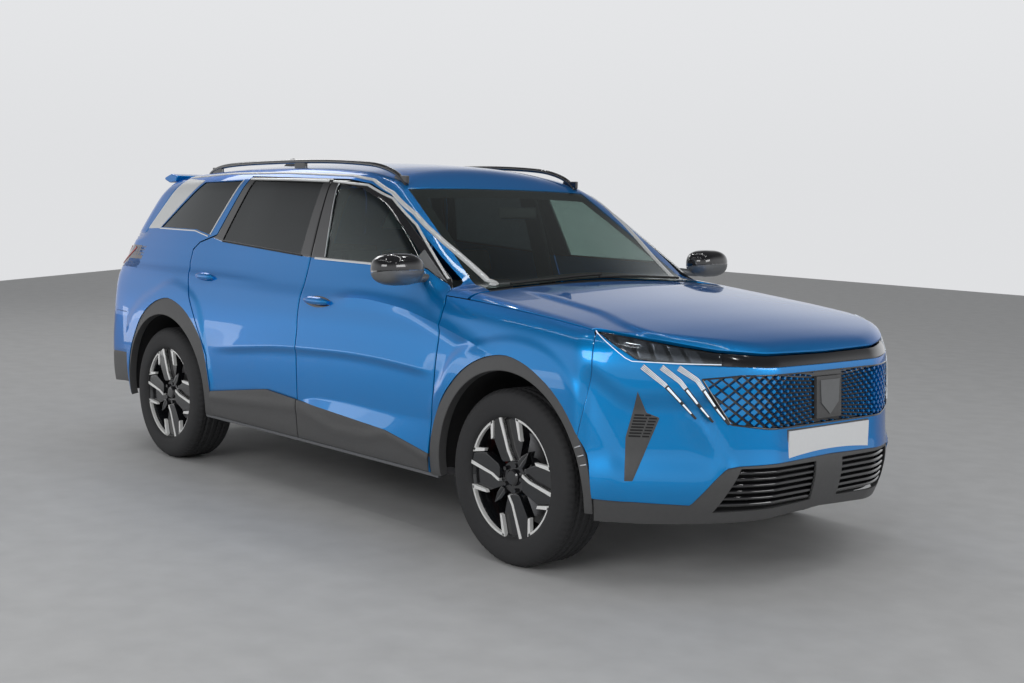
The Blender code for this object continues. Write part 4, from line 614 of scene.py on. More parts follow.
def prism(name, outline, low, high, plane="xz"):
    """A cutter: an outline extruded across its plane."""
    def place(a, b, c):
        return {"xz": (a, c, b), "yz": (c, a, b), "xy": (a, b, c)}[plane]
    bm = bmesh.new()
    face = bm.faces.new([bm.verts.new(place(a, b, low)) for a, b in outline])
    made = bmesh.ops.extrude_face_region(bm, geom=[face])
    moved = [item for item in made["geom"] if isinstance(item, bmesh.types.BMVert)]
    bmesh.ops.translate(bm, verts=moved, vec=Vector(place(0, 0, high)) - Vector(place(0, 0, low)))
    bmesh.ops.triangulate(bm, faces=bm.faces)
    return helper(bm, name)


def through_side(name, outline, side):
    """A cutter through one side of the car."""
    return prism(name, outline, SIDE_REACH[0] * side, SIDE_REACH[1] * side)


def through_end(name, outline, reach):
    """A cutter through the nose or the tail."""
    return prism(name, outline, *reach, plane="yz")


def grown(outline, distance):
    """The outline moved outward by a distance, or inward if it is negative."""
    points = [Vector(p) for p in outline]
    count = len(points)
    area = sum(points[i - 1].cross(points[i]) for i in range(count))
    turn = 1.0 if area > 0 else -1.0
    made = []
    for i in range(count):
        before = (points[i] - points[i - 1]).normalized()
        after = (points[(i + 1) % count] - points[i]).normalized()
        normal_before = Vector((before.y, -before.x)) * turn
        normal_after = Vector((after.y, -after.x)) * turn
        middle = (normal_before + normal_after).normalized()
        made.append(points[i] + middle * (distance / max(middle.dot(normal_after), 0.3)))
    return [tuple(p) for p in made]


def ring_outline(axle_x, ring, grow=0.0):
    """The outline round a wheel arch, open far below the sill."""
    angles = np.arange(-60, 241, 5)
    return [(axle_x + (line(a, ring) + grow) * math.cos(math.radians(a)),
             AXLE_Z + (line(a, ring) + grow) * math.sin(math.radians(a))) for a in angles]


def arch_cut(name, axle_x, ring, side):
    """A cutter for a wheel arch, just outside its cladding."""
    return through_side(name, ring_outline(axle_x, ring, 0.002), side)


def resampled(path, step=0.012):
    """Points a step apart along a path."""
    path = np.asarray(path, float)
    along = np.concatenate([[0.0], np.cumsum(np.linalg.norm(np.diff(path, axis=0), axis=1))])
    count = max(int(along[-1] / step), 4)
    places = np.linspace(0.0, along[-1], count + 1)
    made = np.stack([np.interp(places, along, path[:, k]) for k in range(path.shape[1])], axis=1)
    return made, places / along[-1]


def ribbon(name, path, width, look, rides="body", lift=0.002, crown=0.0012, thickness=0.004, count=7, **ties):
    """A trim strip along a path on the body, with a crowned section."""
    path = np.asarray(path, float)
    outward = normals(path)
    along = np.gradient(path, axis=0)
    sideways = np.cross(outward, along)
    sideways /= np.linalg.norm(sideways, axis=1, keepdims=True)
    offsets = np.linspace(-0.5, 0.5, count)
    width = np.zeros(len(path)) + width
    rows = np.array([path + sideways * (width * k)[:, None] for k in offsets])
    raised = lift + crown * (1 - (2 * offsets[:, None]) ** 2) + np.zeros((count, len(path)))
    outer = rows + outward[None] * raised[..., None]
    inner = rows + outward[None] * (lift - thickness)
    return shown(grid_mesh(outer, inner), name, look, rides, **ties)


def side_path(points, side, step=0.012):
    """A path on the body side through (x, z) points."""
    flat, _ = resampled(points, step)
    return side_points(flat[:, 0], flat[:, 1], side)


def nose_path(points, side, step=0.006):
    """A path round the nose through (x, y, z) points given on the car's right."""
    angles = [math.degrees(math.atan2(abs(y), x - NOSE_PIVOT_X)) for x, y, z in points]
    flat, _ = resampled([(angle * ANGLE_WEIGHT, point[2]) for angle, point in zip(angles, points)], step)
    return mirrored(nose_points(flat[:, 0] / ANGLE_WEIGHT, flat[:, 1]), side)


def name_of(word, side):
    return f"{word}_{'left' if side > 0 else 'right'}"


def mirrored(points, side):
    """Points given for the left, on the left or the right."""
    return points * np.array([1.0, side, 1.0])


def rounded(bm, edges, width, segments):
    """Round some edges of a mesh."""
    bmesh.ops.bevel(bm, geom=edges, offset=width, segments=segments, affect="EDGES", profile=0.5, material=-1)


def rounded_box(bm, low, high, bevel=0.01, segments=3, matrix=None):
    """A box with rounded edges, added to a mesh."""
    made = bmesh.ops.create_cube(bm, size=1.0)
    size = [h - l for l, h in zip(low, high)]
    bmesh.ops.scale(bm, verts=made["verts"], vec=size)
    bmesh.ops.translate(bm, verts=made["verts"], vec=[(h + l) / 2 for l, h in zip(low, high)])
    if matrix is not None:
        bmesh.ops.transform(bm, matrix=matrix, verts=made["verts"])
    edges = list({e for v in made["verts"] for e in v.link_edges})
    rounded(bm, edges, bevel, segments)


def extruded(outline, low, high, bevel, segments):
    """A mesh with rounded edges: an (x, z) outline extruded across the car."""
    bm = bmesh.new()
    face = bm.faces.new([bm.verts.new((x, low, z)) for x, z in outline])
    made = bmesh.ops.extrude_face_region(bm, geom=[face])
    moved = [v for v in made["geom"] if isinstance(v, bmesh.types.BMVert)]
    bmesh.ops.translate(bm, verts=moved, vec=(0, high - low, 0))
    bmesh.ops.recalc_face_normals(bm, faces=bm.faces)
    rounded(bm, list(bm.edges), bevel, segments)
    return bm


def boxes(name, look, corners, rides="body", bevel=0.004, segments=2, **ties):
    bm = bmesh.new()
    for low, high in corners:
        rounded_box(bm, low, high, bevel, segments)
    return shown(bm, name, look, rides, **ties)


def tube(name, path, radius, look, rides="body", sides=12, **ties):
    """A round bar along a path."""
    path = np.asarray(path, float)
    along = np.gradient(path, axis=0)
    along /= np.linalg.norm(along, axis=1, keepdims=True)
    up = np.array([0.0, 0.0, 1.0]) if abs(along[0, 2]) < 0.9 else np.array([1.0, 0.0, 0.0])
    first = np.cross(along, up)
    first /= np.linalg.norm(first, axis=1, keepdims=True)
    second = np.cross(along, first)
    bm = bmesh.new()
    rings = []
    radius = np.zeros(len(path)) + radius
    for centre, a, b, r in zip(path, first, second, radius):
        ring = bmesh.ops.create_circle(bm, segments=sides, radius=r)["verts"]
        turn = Matrix((a, b, np.cross(a, b))).transposed().to_4x4()
        bmesh.ops.transform(bm, matrix=Matrix.Translation(centre) @ turn, verts=ring)
        rings.append([e for v in ring for e in v.link_edges])
    for before, after in zip(rings, rings[1:]):
        bmesh.ops.bridge_loops(bm, edges=list(set(before) | set(after)))
    bmesh.ops.holes_fill(bm, edges=[e for e in bm.edges if e.is_boundary])
    return shown(bm, name, look, rides, **ties)


def doors(side):
    """Both doors of one side: cladding, painted skin, window frame, glass and handle, and the door mirror."""
    for word, left, right, window in (
            ("front_door", CENTRE_AHEAD, FRONT_LINE, FRONT_WINDOW),
            ("rear_door", REAR_LINE, CENTRE_LINE, REAR_WINDOW)):
        name = name_of(word, side)
        rides = name_of("door_" + word.split("_")[0], side)

        def left_x(z, points=left):
            return line(z, points)

        def right_x(z, points=right):
            return line(z, points)

        def clad(x):
            return line(x, CLADDING_TOP)

        def belt(x):
            return line(x, BELT)

        top = min(left[-1][0], right[-1][0])
        arch = []
        if word == "rear_door":
            arch = [arch_cut(f"{name} arch cut", REAR_AXLE_X, REAR_RING, side)]
        creases = [lower_crease_at, shoulder_row_at]
        if word == "front_door":
            creases = [facet_at] + creases
        rows = zone(left_x, right_x, [clad] + creases + [belt], side, 0.012)
        panel(f"{name}_skin", rows, PAINT, rides, creased=True, replaces=[name], cutters=arch)
        rows = zone(left_x, right_x, [lambda x: x * 0.0 + SILL_Z, clad], side, 0.02)
        fold = 0.006 * ridge(rows[..., 2] - line(rows[..., 0], CLADDING_FOLD), 0.05, 0.04)
        panel(f"{name}_cladding", rows, CLADDING, rides, lift=0.009 + fold, cutters=arch)
        rows = zone(left_x, right_x, [belt, lambda x: x * 0.0 + top], side)
        opening = through_side(f"{name} window cut", window, side)
        panel(f"{name}_frame", rows, GLOSS, rides, thickness=0.012, lift=0.0, cutters=[opening])
        look = CLEAR_GLASS if word == "front_door" else PRIVACY_GLASS
        kept = through_side(f"{name} glass keep", grown(window, 0.004), side)
        panel(f"{name}_window", rows, look, rides, thickness=0.004, lift=-0.0045, roll=0.0,
              keepers=[kept], replaces=[f"{name}_glass"])
        handle(name, word, rides, side)
    mirror(side)


def handle(name, word, rides, side):
    """A body-colour door handle over a gloss-black oval sheet that paints the shade of its recess."""
    start, end, z = HANDLES[word]
    path = side_path([(start + 0.02, z), (end - 0.02, z)], side, 0.01)
    # No hollow is cut: this thin gloss-black oval, laid on the skin, is painted shade where the body-colour
    # recess falls dark.
    ribbon(f"{name}_recess", path, 0.056 * np.sin(np.linspace(0.20, math.pi - 0.20, len(path))) ** 0.6, GLOSS,
           rides, lift=0.0008, crown=0.0010, thickness=0.004)
    share = np.linspace(-1.0, 1.0, len(path))
    width = 0.036 * (1 - 0.55 * np.abs(share) ** 3)
    path = path + normals(path) * (0.006 + 0.016 * (1 - share ** 4))[:, None]
    ribbon(f"{name}_handle", path, width, PAINT, rides, lift=0.004, crown=0.010, thickness=0.010, count=11)


def mirror(side):
    """Door mirror: gloss upper cap, satin lower shell and stalk, glass and sail panel."""
    rides = name_of("door_front", side)
    name = name_of("mirror", side)
    centre = Vector((MIRROR_PLACE[0], side * MIRROR_PLACE[1], MIRROR_PLACE[2]))
    for part, look, keep_up in (("cap", GLOSS, 1.0), ("shell", GREY_SATIN, -1.0)):
        bm = bmesh.new()
        bmesh.ops.create_uvsphere(bm, u_segments=40, v_segments=24, radius=1.0)
        for vert in bm.verts:
            u, v, w = vert.co
            vert.co.x = math.copysign(abs(u) ** 0.8, u) * MIRROR_HALF[0]
            vert.co.y = math.copysign(abs(v) ** 0.72, v) * MIRROR_HALF[1]
            vert.co.z = math.copysign(abs(w) ** 0.80, w) * MIRROR_HALF[2]
        bmesh.ops.bisect_plane(bm, geom=bm.verts[:] + bm.edges[:] + bm.faces[:], plane_co=(-0.042, 0, 0),
                               plane_no=(-1, 0, 0), clear_outer=True)
        parting = MIRROR_PARTING + keep_up * MIRROR_SEAM
        bmesh.ops.bisect_plane(bm, geom=bm.verts[:] + bm.edges[:] + bm.faces[:], plane_co=(0, 0, parting),
                               plane_no=(0.15 * keep_up, 0, -keep_up), clear_outer=True)
        bmesh.ops.holes_fill(bm, edges=[e for e in bm.edges if e.is_boundary])
        bmesh.ops.translate(bm, verts=bm.verts, vec=centre)
        shown(bm, f"{name}_{part}", look, rides, sharp=45.0, replaces=[name] if part == "cap" else ())
    bm = bmesh.new()
    bmesh.ops.create_uvsphere(bm, u_segments=32, v_segments=16, radius=1.0)
    bmesh.ops.scale(bm, verts=bm.verts, vec=(0.004, 0.104, 0.056))
    bmesh.ops.translate(bm, verts=bm.verts, vec=centre + Vector((-0.043, 0, 0.001)))
    shown(bm, f"{name}_glass", MIRROR_GLASS, rides)
    foot = side_points(np.array([0.80]), np.array([1.130]), side)[0]
    path = [foot - (0, side * 0.010, 0), foot + (0.005, side * 0.02, 0.002), (0.825, side * 0.94, 1.122),
            (0.835, side * 0.985, 1.125)]
    flat, _ = resampled(path, 0.01)
    tube(f"{name}_stalk", flat, np.linspace(0.020, 0.014, len(flat)), GREY_SATIN, rides, sides=20)
    rows = zone(lambda z: z * 0 + 0.69, lambda z: line(z, FRONT_LINE) - 0.006,
                [lambda x: line(x, BELT) + 0.002, lambda x: x * 0 + 1.262], side, 0.02)
    sail = [(0.700, 1.250), (0.700, 1.176), (0.780, 1.172), (0.925, 1.105)]
    kept = through_side(f"{name} sail keep", sail, side)
    panel(f"{name}_sail", rows, GREY_SATIN, rides, thickness=0.004, lift=0.0022, roll=0.0,
          keepers=[kept])


def quarter_grid(side):
    """Rows of the whole body side, from the windscreen's foot round the rear corner to the tailgate."""
    stations = np.linspace(1.112, TAIL_PIVOT_X, 180)
    tops = top_points(stations, seam_y(stations))
    end_top = tops[-1, 2]
    shares = np.concatenate([[0.0, 0.003], np.linspace(0.015, 0.99, 74), [0.997]])
    turns = np.linspace(0.0, 1.0, 25)[1:]
    rows = []
    for share in shares:
        z = SILL_Z + share * (tops[:, 2] - SILL_Z)
        row = side_points(stations, z)
        height = z[-1]
        edge = line(height, TAIL_SEAM) - math.degrees(SHUT_GAP / 0.9)
        rows.append(np.concatenate([row, tail_points(edge * turns, height)]))
    edge = line(end_top, TAIL_SEAM) - math.degrees(SHUT_GAP / 0.9)
    rows.append(np.concatenate([tops, tail_points(edge * turns, end_top - 0.030 * turns)]))
    return mirrored(np.array(rows), side)


def tail_space(side, name, grow=0.0):
    """Cutter for a tail lamp, open towards the tailgate."""
    angles = np.linspace(TAIL_START - grow * 60, 57.5, 20)
    heights = np.linspace(TAIL_LAMP_LOW - grow, TAIL_LAMP_TOP + grow, 6)
    rows = mirrored(np.array([tail_points(angles, z) for z in heights]), side)
    outward = normals(rows)
    return helper(grid_mesh(rows + outward * 0.02, rows - outward * 0.05), name)


def body_sides(side):
    """Pillars, cantrail and rear quarter, with the silver trims, quarter glass and tail lamp."""
    name = name_of("body_side", side)
    rows = quarter_grid(side)
    outline = [(x, z) for z, x in REAR_LINE] + [(x, z) for z, x in reversed(FRONT_LINE)]
    opening = grown(outline, SHUT_GAP)
    count = len(REAR_LINE)
    front = [p for p in opening[count:] if p[1] > 1.09]
    stations = np.array([1.30, 1.20, 1.112, 1.09, 1.06, 1.03, 1.00, 0.975])
    wing_top = top_points(stations, BONNET_EDGE_Y + SHUT_GAP)[:, 2] + 0.003
    corner = [(float(x), float(z)) for x, z in zip(stations, wing_top)][::-1]
    corner += [(1.30, 0.20), (opening[0][0], 0.20)]
    bumper_angles = np.linspace(TAIL_START - 0.07, 160, 60)
    heights = np.linspace(0.20, REAR_BUMPER_TOP + SEAM_GAP, 12)
    bumper = np.array([tail_points(bumper_angles, z) for z in heights])
    outward = normals(bumper)
    cutters = [
        prism(f"{name} opening", opening[:count] + front + corner, 0.3 * side, 1.3 * side),
        arch_cut(f"{name} arch cut", REAR_AXLE_X, REAR_RING, side),
        through_side(f"{name} quarter cut", QUARTER_WINDOW, side),
        tail_space(side, f"{name} lamp cut", 0.0012),
        helper(grid_mesh(bumper + outward * 0.02, bumper - outward * 0.05), f"{name} bumper cut"),
    ]
    panel(f"{name}_shell", rows, PAINT, thickness=0.012, roll=0.0, creased=True, cutters=cutters,
          replaces=[name])
    sill = zone(lambda z: z * 0 - 0.985, lambda z: z * 0 + 1.02,
                [lambda x: x * 0 + 0.285, lambda x: x * 0 + 0.300], side, 0.02)
    panel(f"{name}_sill", sill, SILL_TRIM, thickness=0.05, lift=0.004)
    kept = through_side(f"{name} quarter keep", grown(QUARTER_WINDOW, 0.004), side)
    glass_rows = rows[45:, 120:200]
    panel(name_of("quarter_glass", side) + "_pane", glass_rows, PRIVACY_GLASS, thickness=0.004, lift=-0.0045,
          roll=0.0, keepers=[kept], replaces=[name_of("quarter_glass", side)])
    posts(side)
    arch_ring(side, "front", FRONT_AXLE_X, FRONT_RING)
    arch_ring(side, "rear", REAR_AXLE_X, REAR_RING)
    silver_trims(side)
    tail_lamp(side)


def posts(side):
    """Inner centre and rear pillars seen through the windows."""
    for word, path, width in (
            ("centre", [(-0.155, 0.45), (-0.150, 1.56)], 0.12),
            ("rear", [(-1.06, 1.22), (-0.955, 1.555)], 0.09)):
        flat = side_path(path, side, 0.03)
        inner = flat - normals(flat) * 0.068
        ribbon(name_of(f"{word}_post", side), inner, width, TRIM, lift=0.0, crown=0.0, thickness=0.02)


def arch_ring(side, word, axle_x, ring):
    """Cladding round a wheel arch and the liner behind it."""
    angles = np.linspace(-8, 188, 120)
    shares = np.array([0.0, 0.05, 0.2, 0.4, 0.6, 0.8, 0.93, 0.985, 1.0])
    inner_radius = ARCH_RADIUS + 0.006
    outer_radius = line(angles, ring)
    radius = inner_radius + shares[:, None] * (outer_radius - inner_radius)[None]
    x = axle_x + radius * np.cos(np.radians(angles))
    z = np.maximum(AXLE_Z + radius * np.sin(np.radians(angles)), 0.285)
    rows = side_points(x, z, side)
    lift = 0.011 - 0.006 * shares[:, None] + np.zeros_like(radius)
    panel(name_of(f"{word}_arch_cladding", side), rows, CLADDING, thickness=0.030, lift=lift, roll=0.002)
    if word == "front":
        for k, turn in enumerate((25.0, 20.5, 16.0)):
            slit = np.radians(turn + np.array([-0.25, 0.0, 0.25]))
            reach = np.linspace(LINER_RADIUS, 0.470, 8)[:, None] + slit[None] * 0.0
            spots = side_points(axle_x + reach * np.cos(slit), AXLE_Z + reach * np.sin(slit), side)
            panel(name_of(f"arch_slit_{k}", side), spots, CHROME, thickness=0.003, lift=0.0125, roll=0.0004)
    inner_y, outer_y = (0.475, 0.885) if word == "front" else (0.600, 0.885)
    angles = np.radians(np.linspace(-4, 184, 60))
    across = np.linspace(inner_y, outer_y, 6)
    outer, inner = [
        np.array([stack(axle_x + radius * np.cos(angles), side * y, AXLE_Z + radius * np.sin(angles))
                  for y in across])
        for radius in (LINER_RADIUS + LINER_WALL, LINER_RADIUS)]
    shown(grid_mesh(outer, inner), name_of(f"{word}_arch_liner", side), LINER)


def silver_trims(side):
    """The satin strip over the side windows and the wide one down the rear pillar."""
    outer = [(1.010, 1.110), (0.955, 1.128), (0.700, 1.283), (0.500, 1.408), (0.330, 1.500), (0.150, 1.560),
             (-0.020, 1.580), (-0.610, 1.592), (-1.20, 1.585), (-1.66, 1.560)]
    path = side_path(outer, side, 0.014)
    broad = 0.019 + 0.017 * ramp(path[:, 0], 0.20, 0.75)
    ribbon(name_of("silver_strip", side), path, broad, SATIN, lift=0.0015, crown=0.003)
    front = name_of("door_front", side)
    rear = name_of("door_rear", side)
    for word, points, width, look, rides, crown in (
            ("front_door_strip",
             [(0.893, 1.131), (0.562, 1.358), (0.358, 1.474), (0.149, 1.534), (-0.140, 1.551)], 0.012, SATIN,
             front, 0.0015),
            ("rear_door_strip", [(-0.178, 1.551), (-0.500, 1.556), (-0.925, 1.557)], 0.012, SATIN, rear,
             0.0015),
            ("front_belt_strip", [(-0.080, 1.176), (0.690, 1.170)], 0.010, SATIN, front, 0.0012),
            ("front_window_edge", [(0.004, 1.186), (-0.082, 1.540)], 0.007, BRIGHT, front, 0.001),
            ("rear_belt_strip", [(-0.200, 1.183), (-0.985, 1.222)], 0.008, SEAL, rear, 0.001),
            ("quarter_belt_strip", [(-1.150, 1.243), (-1.305, 1.268), (-1.745, 1.268)], 0.008, BRIGHT, "body",
             0.001),
            ("rear_pillar_strip", [(-1.134, 1.252), (-0.992, 1.550)], 0.010, SATIN, "body", 0.001)):
        ribbon(name_of(word, side), side_path(points, side), width, look, rides, crown=crown)
    pillar = np.array([[(-1.430, 1.545), (-1.745, 1.268)], [(-1.700, 1.553), (-1.900, 1.262)]])
    s = np.linspace(0.0, 1.0, 22)[None, :, None]
    t = np.linspace(0.0, 1.0, 18)[:, None, None]
    flat = (pillar[0, 0] * (1 - t) * (1 - s) + pillar[0, 1] * t * (1 - s)
            + pillar[1, 0] * (1 - t) * s + pillar[1, 1] * t * s)
    rows = side_points(flat[..., 0], flat[..., 1], side)
    panel(name_of("silver_pillar", side), rows, SATIN, thickness=0.004, lift=0.0022)


def tail_lamp(side):
    """Smoked tail lamp with three red claws."""
    name = name_of("tail_lamp", side)
    angles = spaced(0.45, 0.01) * 30.5 + TAIL_START
    tall = TAIL_LAMP_TOP - TAIL_LAMP_LOW
    heights = spaced(tall, 0.01) * tall + TAIL_LAMP_LOW
    rows = mirrored(np.array([tail_points(angles, z) for z in heights]), side)
    panel(f"{name}_lens", rows, SMOKED, thickness=0.02, replaces=[name])
    for k in range(3):
        start = 27.0 + k * 6.5
        flat, share = resampled([(start, 1.150), (start + 2.5, 1.105), (start + 7.0, 1.050)], 0.4)
        path = mirrored(tail_points(flat[:, 0], flat[:, 1]), side)
        ribbon(f"{name}_claw_{k}", path, 0.016 - 0.007 * share, RED, lift=0.002, crown=0.002)


def wings(side):
    """Front wing from the door to the bumper."""
    name = name_of("front_wing", side)
    stations = np.linspace(0.9, 2.1, 60)
    edges = top_points(stations, BONNET_EDGE_Y + SHUT_GAP)[:, 2]
    guides = [lambda x: x * 0.0 + SILL_Z, shoulder_at, lambda x: np.interp(x, stations, edges)]
    s, t = np.meshgrid(spaced(0.9, 0.010), levels(guides, 1.3, 0.010))
    heights = np.linspace(0.25, 1.12, 40)
    fronts = nose_points(line(heights, WING_SEAM) + math.degrees(SEAM_GAP), heights)[:, 0]
    x = 1.0 + s * 0.9
    for _ in range(30):
        z = between(x, guides, t)
        front = np.interp(z, heights, fronts)
        rear = line(z, FRONT_LINE_AHEAD)
        x = (x + rear + s * (front - rear)) / 2
    rows = side_points(x, z)
    rows[-1] = top_points(x[-1], BONNET_EDGE_Y + SHUT_GAP)
    rows = mirrored(rows, side)
    cutters = [arch_cut(f"{name} arch cut", FRONT_AXLE_X, FRONT_RING, side)]
    panel(f"{name}_skin", rows, PAINT, creased=True, cutters=cutters, replaces=[name])


def bonnet_lid():
    """Bonnet with its raised centre."""
    angles = np.linspace(0.0, 58.0, 60)
    edge = nose_points(angles, line(angles, LAMP_TOP) + SHUT_GAP)
    columns = spaced(1.7, 0.016) * 2 - 1
    y = BONNET_EDGE_Y * np.sign(columns) * np.abs(columns) ** 0.85
    front = np.interp(np.abs(y), edge[:, 1], edge[:, 0])
    rows = [top_points(BONNET_REAR_X + share * (front - BONNET_REAR_X), y) for share in spaced(1.2, 0.016)]
    panel("bonnet_skin", rows, PAINT, "bonnet_lid", replaces=["bonnet"], roll=0.003, creased=True)


def around(low, high, seam, step=0.012, height=0.4):
    """Rows round the nose between two lines and the seams with the wings."""
    s = spaced(2.2, step) * 2 - 1
    t = spaced(height, step)
    s, t = np.meshgrid(s, t)
    z = s * 0.0 + 0.6
    for _ in range(20):
        angle = s * seam(z)
        z = low(np.abs(angle)) + t * (high(np.abs(angle)) - low(np.abs(angle)))
    return nose_points(angle, z)


def nose():
    """Bumper, grille, lamps, claws, vents and intakes."""
    rows = around(lambda a: line(a, BUMPER_LOW), lambda a: line(a, LAMP_LOW) - SEAM_GAP,
                  lambda z: line(z, WING_SEAM))
    rings = [arch_cut(f"bumper arch cut {side}", FRONT_AXLE_X, FRONT_RING, side) for side in (-1, 1)]
    grille_cut = through_end("grille cut", GRILLE_OUTLINE, NOSE_REACH)
    panel("front_bumper_skin", rows, PAINT, creased=True, cutters=[grille_cut] + rings,
          replaces=["front_bumper"])
    lower = around(lambda a: line(a, LIP_LOW), lambda a: line(a, BUMPER_LOW) - SEAM_GAP,
                   lambda z: z * 0 + LOW_SEAM, height=0.2)
    intakes = []
    for side in (-1, 1):
        outline = [(side * y, z) for y, z in ((0.085, 0.330), (0.545, 0.315), (0.470, 0.488), (0.085, 0.488))]
        intakes.append(through_end(f"intake cut {side}", outline, NOSE_REACH))
        for k in range(6):
            z = 0.340 + k * 0.026
            half = 0.555 - (z - 0.315) * 0.45
            first, last = math.degrees(math.atan2(0.06, 1.02)), math.degrees(math.atan2(half, 0.90))
            angles = np.linspace(first, last, 24)
            path = mirrored(nose_points(angles, z), side)
            path = path - normals(path) * 0.014
            ribbon(name_of(f"intake_slat_{k}", side), path, 0.013, GLOSS, lift=0.0, crown=0.004,
                   thickness=0.02)
    panel("lower_bumper_skin", lower, CLADDING, cutters=intakes + rings, replaces=["lower_bumper"], lift=-0.004)
    back = nose_points(*np.meshgrid(np.linspace(-36, 36, 40), np.linspace(0.30, 0.50, 8)))
    back = back - normals(back) * 0.04
    panel("intake_back", back, LINER, thickness=0.003, roll=0.0)
    lamps()
    grille()
    for side in (-1, 1):
        claws(side)
        vent(side)
    plate()


def lamps():
    """Slim headlamps joined by a gloss strip."""
    def low(a):
        return line(a, LAMP_LOW)

    def high(a):
        return line(a, LAMP_TOP)

    rows = around(low, high, lambda z: z * 0 + 56.0, height=0.05, step=0.01)
    panel("lamp_bar_housing", rows, LAMP_DARK, thickness=0.014, lift=-0.006, roll=0.0,
          replaces=["headlamp_bar"])
    angles = np.linspace(-30, 30, 90)
    foot, head = low(np.abs(angles)), high(np.abs(angles))
    shares = (0.02, 0.06, 0.3, 0.5, 0.7, 0.94, 0.98)
    rows = np.array([nose_points(angles, foot + t * (head - foot)) for t in shares])
    panel("lamp_bar_strip", rows, GLOSS, thickness=0.006, lift=0.0, roll=0.001)
    for side in (-1, 1):
        bright = nose_path([(1.888, 0.835, 0.995), (2.022, 0.811, 0.902), (2.044, 0.796, 0.890),
                            (2.159, 0.672, 0.886), (2.262, 0.536, 0.884)], side)
        ribbon(name_of("lamp_lower_strip", side), bright, 0.0042, LAMP_GLOW, lift=-0.001, crown=0.002)
        for k in range(6):
            start = 34.0 + k * 3.6
            a = np.array([start, start + 2.6, start + 4.2, start + 1.6])
            bottom = low(a[0:2]) + 0.008
            top = high(a[2:4]) - 0.005
            s = np.linspace(0, 1, 7)[None, :]
            t = np.linspace(0, 1, 5)[:, None]
            angle = (a[0] + s * (a[1] - a[0])) * (1 - t) + (a[3] + s * (a[2] - a[3])) * t
            z = (bottom[0] + s * (bottom[1] - bottom[0])) * (1 - t) + (top[1] + s * (top[0] - top[1])) * t
            rows = mirrored(nose_points(angle, z), side)
            panel(name_of(f"lamp_segment_{k}", side), rows, LAMP_BRIGHT, thickness=0.004, lift=-0.0035,
                  roll=0.0008)
        angle = np.linspace(30.3, 55.8, 60)
        rows = [nose_points(angle, low(angle) + t * (high(angle) - low(angle)))
                for t in np.linspace(0.02, 0.98, 8)]
        rows = mirrored(np.array(rows), side)
        panel(name_of("lamp_lens", side), rows, LENS, thickness=0.002, lift=0.001, roll=0.001)


def grille():
    """Body-colour diamonds, shrinking towards the centre, on a black ground."""
    angles = np.linspace(-34.0, 34.0, 60)
    rows = np.array([nose_points(angles, z) for z in np.linspace(0.62, 0.86, 12)])
    kept = through_end("grille keep", grown(GRILLE_OUTLINE, 0.003), NOSE_REACH)
    panel("grille_ground", rows, GLOSS, thickness=0.008, lift=-0.014, roll=0.0, keepers=[kept],
          replaces=["grille"])
    bm = bmesh.new()
    for row in range(-10, 11):
        for column in range(-17, 18):
            place = column + (0.5 if row % 2 else 0.0)
            pitch_y = 0.026 + 0.00152 * abs(place)
            y = math.copysign(0.026 * abs(place) + 0.00076 * place * place, place)
            share = min(abs(y) / 0.60, 1.0)
            pitch_z = 0.024 + 0.022 * share
            z = 0.742 + row * pitch_z / 2
            size = 0.26 + 0.62 * ramp(share, 0.12, 1.0)
            half_y, half_z = pitch_y / 2 * size, pitch_z / 2 * size
            if not inside(y, z, grown(GRILLE_OUTLINE, 0.006)):
                continue
            if abs(y) < 0.088 and 0.645 < z < 0.850:
                continue
            made = bmesh.ops.create_cone(bm, cap_ends=True, segments=4, radius1=1.0, radius2=0.86, depth=1.0)
            x = on_body(np.array([[1.4, y, z]]), (1.0, 0.0, 0.0))[0, 0]
            outward = Vector(normals(np.array([[x, y, z]]))[0])
            right = Vector((0, 0, 1)).cross(outward).normalized()
            up = outward.cross(right)
            stretch = 1 / max(outward.x, 0.4)
            turn = Matrix((right * half_y * stretch, up * half_z, outward * 0.012)).transposed().to_4x4()
            centre = Vector((x, y, z)) - outward * 0.008
            bmesh.ops.transform(bm, matrix=Matrix.Translation(centre) @ turn, verts=made["verts"])
    kept = through_end("diamond keep", grown(GRILLE_OUTLINE, -0.004), NOSE_REACH)
    shown(bm, "grille_diamonds", PAINT, sharp=20.0, keepers=[kept])
    edge = GRILLE_OUTLINE + [GRILLE_OUTLINE[0]]
    flat, _ = resampled(edge, 0.01)
    path = on_body(stack(1.4, flat[:, 0], flat[:, 1]), (1.0, 0.0, 0.0))
    ribbon("grille_edge", path, 0.006, GLOSS, lift=0.0012, crown=0.001)
    rows = on_body(stack(1.4, *np.meshgrid(np.linspace(-0.080, 0.080, 16), np.linspace(0.655, 0.820, 14))),
                   (1.0, 0.0, 0.0))
    panel("grille_badge_back", rows, CLADDING, thickness=0.016, lift=0.001)
    outline = [(-0.062, 0.806), (0.062, 0.806), (0.056, 0.715), (0.0, 0.668), (-0.056, 0.715)]
    kept = through_end("badge keep", outline, NOSE_REACH)
    panel("grille_badge_blank", rows, GREY_SATIN, thickness=0.006, lift=0.005, roll=0.0,
          keepers=[kept])


def inside(a, b, outline):
    """Whether a point lies in an outline."""
    within = False
    for (a0, b0), (a1, b1) in zip(outline, outline[1:] + outline[:1]):
        if (b0 > b) != (b1 > b) and a < a0 + (b - b0) * (a1 - a0) / (b1 - b0):
            within = not within
    return within


